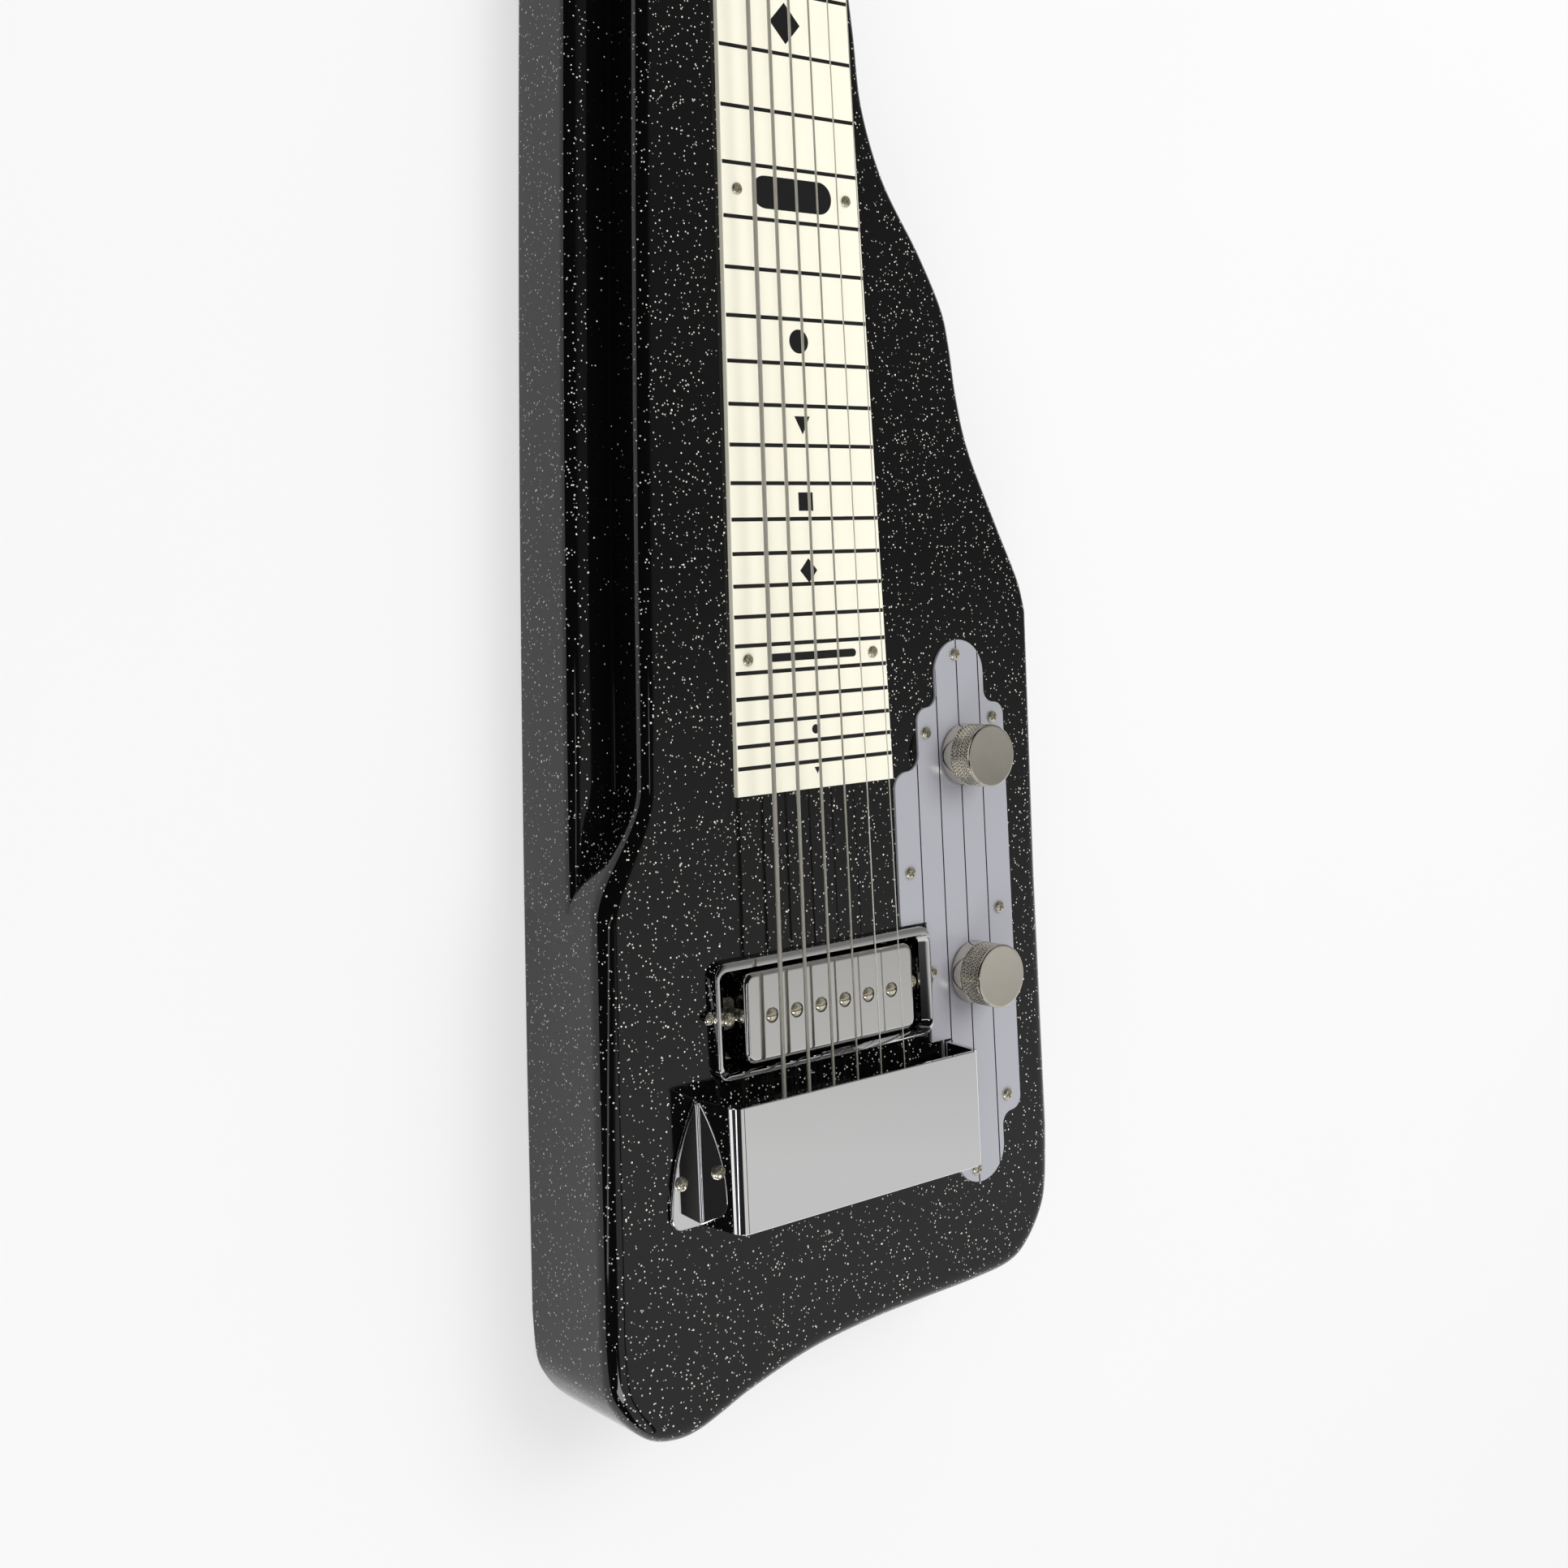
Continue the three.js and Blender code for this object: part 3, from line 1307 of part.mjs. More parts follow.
for (const [name, distance] of [['volume', volumeFromNut], ['tone', toneFromNut]]) {
  const y = fromNut(distance);
  place(`${name}_pot`, pot(y), steel);
  place(`${name}_pot_nut`, potNut(y), nickel);
  place(`${name}_shaft`, potShaft(y), steel);
  place(`${name}_knob`, knob(y), nickel);
}
place('tone_capacitor', capacitor(), brown);
place('output_jack', outputJack(), nickel);
place('jack_nut', jackNut(), nickel);

place('tuner_strip_treble', tunerStrip(1), nickel);
place('tuner_strip_bass', tunerStrip(-1), nickel);
for (const spot of postPlaces()) {
  place(`tuner_post_${spot.string}`, tunerPost(spot), nickel);
  place(`tuner_worm_${spot.string}`, tunerWorm(spot), steel);
  place(`tuner_button_${spot.string}`, tunerButton(spot), nickel);
  place(`post_bushing_${spot.string}`, postBushing(spot), nickel);
  place(`string_${spot.string}`, musicString(spot.string), steel);
}

export default guitar;
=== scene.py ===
"""Surface model and studio for a six-string lap steel guitar.

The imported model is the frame. Each class here rebuilds one sub-assembly of the
instrument at a finer grain, gives it its finish and lets it ride on the body
that carries it. Sizes are in millimetres and become metres when a mesh is made.
"""

from __future__ import annotations

import logging
from dataclasses import dataclass, field, replace
from enum import Enum
from math import asin, atan2, copysign, cos, pi, radians, sin, sqrt
from typing import Callable, Iterable, Sequence

import bmesh
import bpy
from mathutils import Matrix, Vector


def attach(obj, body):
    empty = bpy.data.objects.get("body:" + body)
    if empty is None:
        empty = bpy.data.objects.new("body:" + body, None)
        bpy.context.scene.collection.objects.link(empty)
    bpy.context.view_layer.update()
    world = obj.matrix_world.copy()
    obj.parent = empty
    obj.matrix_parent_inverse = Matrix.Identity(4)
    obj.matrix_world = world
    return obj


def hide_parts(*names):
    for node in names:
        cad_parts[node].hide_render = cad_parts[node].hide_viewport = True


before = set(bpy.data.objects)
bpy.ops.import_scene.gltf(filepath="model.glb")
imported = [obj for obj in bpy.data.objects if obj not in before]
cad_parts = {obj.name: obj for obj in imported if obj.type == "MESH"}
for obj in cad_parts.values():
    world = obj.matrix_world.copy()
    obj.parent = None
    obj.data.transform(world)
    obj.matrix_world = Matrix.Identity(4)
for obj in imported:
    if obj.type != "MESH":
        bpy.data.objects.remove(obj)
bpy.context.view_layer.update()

LOG = logging.getLogger("lap_steel")
MM = 0.001
ROOT = "instrument"

Pair = tuple[float, float]
Pairs = tuple[Pair, ...]
Triple = tuple[float, float, float]
Profile = Sequence[Pair]
Ring = list[Vector]
Socket = bpy.types.NodeSocket
Sockets = dict[str, Socket]
Colour = Triple


class Side(Enum):
    """The two long sides of the instrument, by the sign of X."""

    BASS = -1
    TREBLE = 1


class Marker(Enum):
    """Shapes that are printed on the fretboard."""

    DIAMOND = "diamond"
    BAR = "bar"
    DISC = "disc"
    TRIANGLE = "triangle"
    SQUARE = "square"


class Drive(Enum):
    """Recess in the head of a screw."""

    CROSS = "cross"
    SLOT = "slot"


@dataclass(frozen=True)
class Layout:
    """Places that more than one sub-assembly follows."""

    scale: float = 571.5
    body_top: float = 44.5
    board_thickness: float = 2.0
    string_rise: float = 6.9
    plate_thickness: float = 1.0
    pickup_from_nut: float = 534.4
    pickup_slot: Pair = (80.4, 29.6)
    volume_from_nut: float = 535.0
    tone_from_nut: float = 461.5
    controls_x: float = 64.6
    gauges: tuple[float, ...] = (0.341, 0.426, 0.653, 0.909, 1.164, 1.42)
    nut_spread: float = 35.0
    saddle_spread: float = 50.4
    board_length: float = 466.7
    board_halves: Pair = (22.2, 32.05)
    nut_thickness: float = 5.0
    seat_gap: float = 0.3
    overrun: float = 2.0
    rest_from_nut: float = 556.2
    rest_length: float = 37.4
    rest_width: float = 101.0
    rest_wall: float = 1.5

    @property
    def board_top(self) -> float:
        """Height of the fretboard's face."""
        return self.body_top + self.board_thickness

    @property
    def plate_top(self) -> float:
        """Height of the control plate's face."""
        return self.body_top + self.plate_thickness

    @property
    def underside(self) -> float:
        """Height of the underside of the strings."""
        return self.board_top + self.string_rise

    def y(self, distance: float) -> float:
        """The place along Y at a distance from the nut towards the tail."""
        return self.scale / 2 - distance

    def board_half(self, distance: float) -> float:
        """Half the fretboard's width at a distance from the nut."""
        low, high = self.board_halves
        return low + (high - low) * distance / self.board_length

    def string_x(self, string: int, spread: float) -> float:
        """Sideways place of a string where the set has the given spread."""
        return spread / 2 - (string - 1) * spread / 5


LAYOUT = Layout()


def plan(x: float, y: float) -> Vector:
    """A point in the XY plane."""
    return Vector((x, y, 0))


def shift(x: float, y: float, z: float = 0.0) -> Matrix:
    """A move to a place."""
    return Matrix.Translation((x, y, z))


def sideways(x: float, y: float, z: float) -> Matrix:
    """A move to a place, with what stood upright laid along X."""
    return shift(x, y, z) @ Matrix.Rotation(pi / 2, 4, "Y")


def spokes(count: int) -> list[float]:
    """Even angles all round, from 0."""
    return [2 * pi * i / count for i in range(count)]


def lerp(low: float, high: float, share: float) -> float:
    """The value a share of the way from low to high."""
    return low + (high - low) * share


def smoothstep(value: float, low: float, high: float) -> float:
    """An S-shaped rise from 0 at low to 1 at high."""
    share = min(max((value - low) / (high - low), 0.0), 1.0)
    return share * share * (3 - 2 * share)


def arc(x: float, y: float, radius: float, start: float, turn: float, steps: int) -> Ring:
    """Points on an arc in the XY plane.

    Args:
        x: Centre along X.
        y: Centre along Y.
        radius: Radius of the arc.
        start: First angle in degrees.
        turn: Angle swept in degrees.
        steps: Number of chords.

    Returns:
        One point more than there are chords.
    """
    angles = [radians(start + turn * i / steps) for i in range(steps + 1)]
    return [plan(x + radius * cos(a), y + radius * sin(a)) for a in angles]


def distinct(points: Iterable[Vector], closed: bool = True) -> Ring:
    """Drops points that repeat their neighbour, all round when the outline is closed.

    Args:
        points: Points in order.
        closed: Whether the last point is followed by the first.

    Returns:
        The points that are kept.
    """
    kept: Ring = []
    for point in points:
        if not kept or (point - kept[-1]).length > 1e-4:
            kept.append(point)
    if closed and (kept[0] - kept[-1]).length <= 1e-4:
        kept.pop()
    return kept


def spline(points: Profile, chords: int) -> Ring:
    """A smooth curve through points, with an even number of chords between neighbours.

    Args:
        points: Places that the curve passes through.
        chords: Chords between two neighbouring places.

    Returns:
        The points of the curve.
    """
    last = len(points) - 1
    result: Ring = []
    for i in range(last):
        around = [points[max(i - 1, 0)], points[i], points[i + 1], points[min(i + 2, last)]]
        for step in range(chords + (i == last - 1)):
            t = step / chords
            value = []
            for axis in (0, 1):
                p0, p1, p2, p3 = (p[axis] for p in around)
                v0, v1 = (p2 - p0) / 2, (p3 - p1) / 2
                cubic = 2 * p1 - 2 * p2 + v0 + v1
                square = 3 * p2 - 3 * p1 - 2 * v0 - v1
                value.append(((cubic * t + square) * t + v0) * t + p1)
            result.append(plan(value[0], value[1]))
    return result


def inward(outline: Ring) -> Ring:
    """Inward normals of an anticlockwise outline, longer where it turns.

    Args:
        outline: Points of the outline.

    Returns:
        One normal for each point.
    """
    normals = []
    count = len(outline)
    for i, point in enumerate(outline):
        into = (point - outline[i - 1]).normalized()
        away = (outline[(i + 1) % count] - point).normalized()
        along = (into + away).normalized()
        normals.append(plan(-along.y, along.x) / max(along.dot(into), 0.5))
    return normals


def rounded_box(width: float, height: float, radius: float, x: float = 0, y: float = 0, steps: int = 8) -> Ring:
    """Anticlockwise rectangle with round corners about a centre.

    Args:
        width: Size along X.
        height: Size along Y.
        radius: Radius of the corners.
        x: Centre along X.
        y: Centre along Y.
        steps: Chords in each corner.

    Returns:
        The points of the rectangle.
    """
    dx, dy = width / 2 - radius, height / 2 - radius
    points: Ring = []
    for sx, sy, start in ((1, 1, 0), (-1, 1, 90), (-1, -1, 180), (1, -1, 270)):
        points += arc(x + sx * dx, y + sy * dy, radius, start, 90, steps)
    return distinct(points)


def quarter(radius: float, steps: int) -> list[Pair]:
    """Steps of a quarter circle from a wall to a flat, as travel inwards and up."""
    angles = [pi / 2 * i / steps for i in range(steps + 1)]
    return [(radius * (1 - cos(a)), radius * sin(a)) for a in angles]


@dataclass
class Form:
    """A mesh in the making, in millimetres, with a material slot for each face."""

    points: Ring = field(default_factory=list)
    faces: list[tuple[tuple[int, ...], int]] = field(default_factory=list)

    def add(self, points: Sequence[Vector], faces: Iterable[Sequence[int]], slot: int = 0) -> Form:
        """Adds points and the faces between them.

        Args:
            points: New points.
            faces: Their faces, by number from the first new point.
            slot: Material slot of the faces.

        Returns:
            The form itself.
        """
        base = len(self.points)
        self.points += [Vector(p) for p in points]
        self.faces += [(tuple(base + i for i in face), slot) for face in faces]
        return self

    def loft(self, rings: Sequence[Ring], slot: int = 0, loop: bool = False, cap_slot: int | None = None) -> Form:
        """Skins a stack of rings.

        Args:
            rings: Rings with equal counts of points.
            slot: Material slot of the skin.
            loop: Joins the last ring to the first in place of two end faces.
            cap_slot: Material slot of the last end face, where it differs.

        Returns:
            The form itself.
        """
        count = len(rings[0])
        faces: list[Sequence[int]] = []
        for level in range(len(rings) - (0 if loop else 1)):
            low, high = level * count, (level + 1) % len(rings) * count
            for i in range(count):
                j = (i + 1) % count
                faces.append((low + i, low + j, high + j, high + i))
        self.add([p for ring in rings for p in ring], faces, slot)
        if not loop:
            base = len(self.points) - len(rings) * count
            top = len(self.points) - count
            self.faces.append((tuple(base + i for i in reversed(range(count))), slot))
            self.faces.append((tuple(top + i for i in range(count)), slot if cap_slot is None else cap_slot))
        return self

    def slab(self, outline: Ring, low: float, high: float, low_round: float = 0.0, high_round: float = 0.0,
             steps: int = 3, slot: int = 0) -> Form:
        """Raises an outline into a plate, with rounded edges where a radius is given.

        Args:
            outline: The plan of the plate, anticlockwise.
            low: Height of its underside.
            high: Height of its face.
            low_round: Radius of the lower edge.
            high_round: Radius of the upper edge.
            steps: Chords in each rounded edge.
            slot: Material slot of its faces.

        Returns:
            The form itself.
        """
        normals = inward(outline)
        levels = [(i, low + low_round - u) for i, u in reversed(quarter(low_round, steps))] if low_round else [(0, low)]
        if low_round:
            levels.insert(0, (low_round * 1.3, low))
        levels += [(i, high - high_round + u) for i, u in quarter(high_round, steps)] if high_round else [(0, high)]
        if high_round:
            levels.append((high_round * 1.3, high))
        rings = [[p + n * i + Vector((0, 0, z)) for p, n in zip(outline, normals)] for i, z in levels]
        return self.loft(rings, slot)

    def turn(self, profile: Profile, sides: int = 48, place: Matrix | None = None, slot: int = 0) -> Form:
        """Turns a closed profile of radius and height about the vertical axis.

        Args:
            profile: Corners from the axis, or from an inner wall, and back to it.
            sides: Number of steps round the axis.
            place: Where the turned form is put.
            slot: Material slot of its faces.

        Returns:
            The form itself.
        """
        place = place or Matrix()
        points: Ring = []
        rows: list[list[int]] = []
        for radius, height in profile:
            if radius < 1e-6:
                rows.append([len(points)] * sides)
                points.append(Vector((0, 0, height)))
                continue
            rows.append([len(points) + i for i in range(sides)])
            points += [Vector((radius * cos(a), radius * sin(a), height)) for a in spokes(sides)]
        faces = []
        pairs = list(zip(rows, rows[1:]))
        if profile[0][0] > 1e-6:
            pairs.append((rows[-1], rows[0]))
        for low, high in pairs:
            for i in range(sides):
                j = (i + 1) % sides
                face = list(dict.fromkeys((low[i], low[j], high[j], high[i])))
                if len(face) > 2:
                    faces.append(face)
        return self.add([place @ p for p in points], faces, slot)

    def rod(self, radius: float, low: float, high: float, sides: int = 48, place: Matrix | None = None) -> Form:
        """Adds a plain round bar about the vertical axis."""
        return self.turn([(0, low), (radius, low), (radius, high), (0, high)], sides, place)

    def sweep(self, path: Sequence[Vector], radius: float, sides: int) -> Form:
        """Draws a round wire along a path, with closed ends.

        Args:
            path: Centre line of the wire.
            radius: Its radius.
            sides: Steps round it.

        Returns:
            The form itself.
        """
        tangents = []
        for i, point in enumerate(path):
            before, after = path[max(i - 1, 0)], path[min(i + 1, len(path) - 1)]
            tangents.append((after - before).normalized())
        across = tangents[0].orthogonal().normalized()
        rings = []
        for i, (point, tangent) in enumerate(zip(path, tangents)):
            across = (across - tangent * across.dot(tangent)).normalized()
            other = tangent.cross(across)
            rings.append([point + (across * cos(a) + other * sin(a)) * radius
                          for a in spokes(sides)])
        return self.loft(rings)

    def box(self, low: Sequence[float], high: Sequence[float]) -> Form:
        """Adds a plain box between two corners.

        Args:
            low: The lowest corner.
            high: The highest corner.

        Returns:
            The form itself.
        """
        ring = [plan(x, y) for x, y in
                ((low[0], low[1]), (high[0], low[1]), (high[0], high[1]), (low[0], high[1]))]
        return self.loft([[p + Vector((0, 0, z)) for p in ring] for z in (low[2], high[2])])

    def merge(self, other: Form, place: Matrix) -> Form:
        """Adds a copy of another form at a place.

        Args:
            other: What is copied.
            place: Where the copy goes.

        Returns:
            The form itself.
        """
        base = len(self.points)
        self.points += [place @ p for p in other.points]
        self.faces += [(tuple(base + i for i in face), slot) for face, slot in other.faces]
        return self

    def mesh(self, name: str) -> bpy.types.Mesh:
        """Makes a mesh in metres, with its faces turned outwards.

        Args:
            name: Name of the mesh.

        Returns:
            The mesh.
        """
        mesh = bpy.data.meshes.new(name)
        mesh.from_pydata([p * MM for p in self.points], [], [face for face, _ in self.faces])
        mesh.polygons.foreach_set("material_index", [slot for _, slot in self.faces])
        work = bmesh.new()
        work.from_mesh(mesh)
        bmesh.ops.remove_doubles(work, verts=work.verts, dist=1e-7)
        bmesh.ops.recalc_face_normals(work, faces=work.faces)
        work.to_mesh(mesh)
        work.free()
        return mesh

    def cut(self, tools: Sequence[Form], joined: Sequence[Form] = ()) -> Cut:
        """Puts off joining and cutting until the mesh is made."""
        return Cut(self, list(joined), list(tools))


def placed(name: str, data: bpy.types.ID) -> bpy.types.Object:
    """Makes an object of some data and puts it in the scene.

    Args:
        name: Name of the object.
        data: Its mesh, lamp or camera.

    Returns:
        The new object.
    """
    obj = bpy.data.objects.new(name, data)
    bpy.context.scene.collection.objects.link(obj)
    return obj


@dataclass
class Cut:
    """A form that has others joined to it and cut from it."""

    base: Form
    joined: list[Form]
    tools: list[Form]

    def mesh(self, name: str) -> bpy.types.Mesh:
        """Makes the mesh with its joins and cuts.

        Args:
            name: Name of the mesh.

        Returns:
            The mesh.
        """
        holder = placed(name, self.base.mesh(name))
        helpers = []
        for operation, forms in (("UNION", self.joined), ("DIFFERENCE", self.tools)):
            for i, form in enumerate(forms):
                label = f"{name}_{operation.lower()}_{i}"
                helpers.append(placed(label, form.mesh(label)))
                modifier = holder.modifiers.new(label, "BOOLEAN")
                modifier.operation, modifier.solver, modifier.object = operation, "MANIFOLD", helpers[-1]
        graph = bpy.context.evaluated_depsgraph_get()
        mesh = bpy.data.meshes.new_from_object(holder.evaluated_get(graph))
        for spare in [holder, *helpers]:
            data = spare.data
            bpy.data.objects.remove(spare)
            bpy.data.meshes.remove(data)
        mesh.name = name
        return mesh


def piece(name: str, form: Form | Cut, finishes: Sequence[Finish], body: str = ROOT,
          replaces: Sequence[str] = (), sharp: float = 32.0) -> bpy.types.Object:
    """Makes a form into an object of the instrument.

    Args:
        name: Name of the piece.
        form: The shape, in millimetres in the row frame.
        finishes: One finish for each material slot of the form.
        body: The CAD body that carries it.
        replaces: CAD nodes that it stands for.
        sharp: Edges that turn by more than this angle, in degrees, stay crisp.

    Returns:
        The object, riding on its body.
    """
    mesh = form.mesh(name)
    mesh.materials.clear()
    for finish in finishes:
        mesh.materials.append(finish.material())
    mesh.polygons.foreach_set("use_smooth", [True] * len(mesh.polygons))
    mesh.set_sharp_from_angle(angle=radians(sharp))
    obj = placed(name, mesh)
    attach(obj, body)
    if replaces:
        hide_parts(*replaces)
    LOG.info("%s: %d faces on %s", name, len(mesh.polygons), body)
    return obj


@dataclass
class Tree:
    """A small helper that adds and links shader nodes."""

    nodes: bpy.types.Nodes
    links: bpy.types.NodeLinks

    @staticmethod
    def on(owner: bpy.types.Material | bpy.types.World) -> Tree:
        """The emptied node tree of a material or a world.

        Args:
            owner: What the nodes are for.

        Returns:
            The helper for its tree.
        """
        owner.use_nodes = True
        owner.node_tree.nodes.clear()
        return Tree(owner.node_tree.nodes, owner.node_tree.links)

    def add(self, kind: str, inputs: dict[str | int, object] | None = None, **settings: object) -> bpy.types.Node:
        """Adds a node.

        Args:
            kind: Name of the node type without its ShaderNode prefix.
            inputs: Values, or sockets to link, by the name or number of the input.
            settings: Properties to set on the node.

        Returns:
            The new node.
        """
        node = self.nodes.new(kind if kind.startswith("Node") else f"ShaderNode{kind}")
        for key, value in settings.items():
            setattr(node, key, value)
        for key, value in (inputs or {}).items():
            if isinstance(value, bpy.types.NodeSocket):
                self.links.new(value, node.inputs[key])
            else:
                node.inputs[key].default_value = value
        return node

    def math(self, operation: str, *values: object) -> Socket:
        """The result of a Math node over numbers or sockets."""
        return self.add("Math", dict(enumerate(values)), operation=operation).outputs[0]

    def mix(self, share: object, low: object, high: object) -> Socket:
        """A mix of two colours."""
        return self.add("Mix", {0: share, 6: low, 7: high}, data_type="RGBA").outputs[2]

    def place(self) -> Socket:
        """The surface's own place, which is the row frame."""
        return self.add("TexCoord").outputs["Object"]


def effect(name: str, inputs: dict[str, float], outputs: Sequence[str],
           fill: Callable[[Tree, Sockets], Sockets]) -> bpy.types.NodeTree:
    """Makes an effect once, as a node group with named inputs and outputs.

    Args:
        name: Name of the group.
        inputs: Number inputs with their defaults.
        outputs: Names of its number outputs.
        fill: Makes the nodes and returns the socket for each output.

    Returns:
        The node group.
    """
    if name in bpy.data.node_groups:
        return bpy.data.node_groups[name]
    group = bpy.data.node_groups.new(name, "ShaderNodeTree")
    tree = Tree(group.nodes, group.links)
    for label, value in inputs.items():
        socket = group.interface.new_socket(label, in_out="INPUT", socket_type="NodeSocketFloat")
        socket.default_value = value
    for label in outputs:
        group.interface.new_socket(label, in_out="OUTPUT", socket_type="NodeSocketFloat")
    given = tree.add("NodeGroupInput")
    made = fill(tree, {label: given.outputs[label] for label in inputs})
    tree.add("NodeGroupOutput", dict(made))
    return group


def handling_marks() -> bpy.types.NodeTree:
    """Faint smudges that raise the roughness, and a slight unevenness of the surface.

    Returns:
        The node group.
    """

    def fill(tree: Tree, given: Sockets) -> Sockets:
        """Builds cloudy and fine noise.

        Args:
            tree: The group's nodes.
            given: Its inputs.

        Returns:
            Its outputs.
        """
        place = tree.place()
        cloud = tree.add("TexNoise", {"Vector": place, "Scale": given["Cloud Scale"], "Detail": 3.0})
        fine = tree.add("TexNoise", {"Vector": place, "Scale": given["Grain Scale"], "Detail": 2.0})
        smudge = tree.math("MULTIPLY", tree.math("SUBTRACT", cloud.outputs[0], 0.5), given["Smudge"])
        rough = tree.math("MAXIMUM", tree.math("ADD", given["Roughness"], smudge), 0.01)
        return {"Roughness": rough, "Height": fine.outputs[0], "Mask": cloud.outputs[0]}

    inputs = {"Roughness": 0.1, "Smudge": 0.1, "Cloud Scale": 40.0, "Grain Scale": 900.0}
    return effect("handling_marks", inputs, ("Roughness", "Height", "Mask"), fill)


def flake_field() -> bpy.types.NodeTree:
    """Scattered flakes: a mask of small round spots and a brightness for each.

    Returns:
        The node group.
    """

    def fill(tree: Tree, given: Sockets) -> Sockets:
        """Keeps a share of the cells and draws a spot in the middle of each.

        Args:
            tree: The group's nodes.
            given: Its inputs.

        Returns:
            Its outputs.
        """
        scale = tree.math("DIVIDE", 1.0, given["Spacing"])
        cells = tree.add("TexVoronoi", {"Vector": tree.place(), "Scale": scale, "Randomness": 1.0})
        noise = tree.add("TexWhiteNoise", {"Vector": cells.outputs["Color"]}, noise_dimensions="3D")
        chance = tree.add("SeparateColor", {0: noise.outputs["Color"]})
        kept = tree.math("LESS_THAN", chance.outputs[0], given["Share"])
        radius = tree.math("MULTIPLY", given["Radius"], tree.math("ADD", 0.75, tree.math(
            "MULTIPLY", chance.outputs[1], 0.4)))
        apart = tree.math("MULTIPLY", cells.outputs["Distance"], given["Spacing"])
        spot = tree.math("LESS_THAN", apart, radius)
        return {"Mask": tree.math("MULTIPLY", spot, kept), "Brightness": chance.outputs[2]}

    inputs = {"Spacing": 0.001, "Radius": 0.0003, "Share": 0.3}
    return effect("flake_field", inputs, ("Mask", "Brightness"), fill)


def rgb(red: int, green: int, blue: int) -> Colour:
    """A colour written as on a screen, turned to scene values.

    Args:
        red: From 0 to 255.
        green: From 0 to 255.
        blue: From 0 to 255.

    Returns:
        The linear colour.
    """
    return tuple(
        v / 12.92 if v <= 0.04045 else ((v + 0.055) / 1.055) ** 2.4 for v in (red / 255, green / 255, blue / 255)
    )


@dataclass(frozen=True)
class Finish:
    """A plain finish: a colour with handling marks and a fine grain."""

    name: str
    slot: str
    colour: Colour
    roughness: float
    metallic: float = 0.0
    smudge: float = 0.05
    grain: float = 0.01
    cloud_scale: float = 45.0
    grain_scale: float = 1500.0
    shade: float = 0.06

    def material(self) -> bpy.types.Material:
        """The material, made at its first use.

        Returns:
            The material.
        """
        if self.name in bpy.data.materials:
            return bpy.data.materials[self.name]
        material = bpy.data.materials.new(self.name)
        tree = Tree.on(material)
        marks = tree.add("Group", node_tree=handling_marks())
        for key, value in (("Roughness", self.roughness), ("Smudge", self.smudge),
                           ("Cloud Scale", self.cloud_scale), ("Grain Scale", self.grain_scale)):
            marks.inputs[key].default_value = value
        dark = tuple(c * (1 - self.shade) for c in self.colour)
        base = tree.mix(marks.outputs["Mask"], (*dark, 1), (*self.colour, 1))
        colour, height, depth = self.paint(tree, base, marks.outputs["Height"])
        bump = tree.add("Bump", {"Height": height, "Strength": 1.0, "Distance": depth * MM})
        shader = tree.add("BsdfPrincipled", {
            "Base Color": colour, "Roughness": marks.outputs["Roughness"], "Metallic": self.metallic,
            "Normal": bump.outputs[0]})
        tree.add("OutputMaterial", {"Surface": shader.outputs[0]})
        return material

    def paint(self, tree: Tree, base: Socket, grain: Socket) -> tuple[Socket, Socket, float]:
        """The colour, the height and the height's depth in millimetres, here the clouded base and fine grain."""
        return base, grain, self.grain


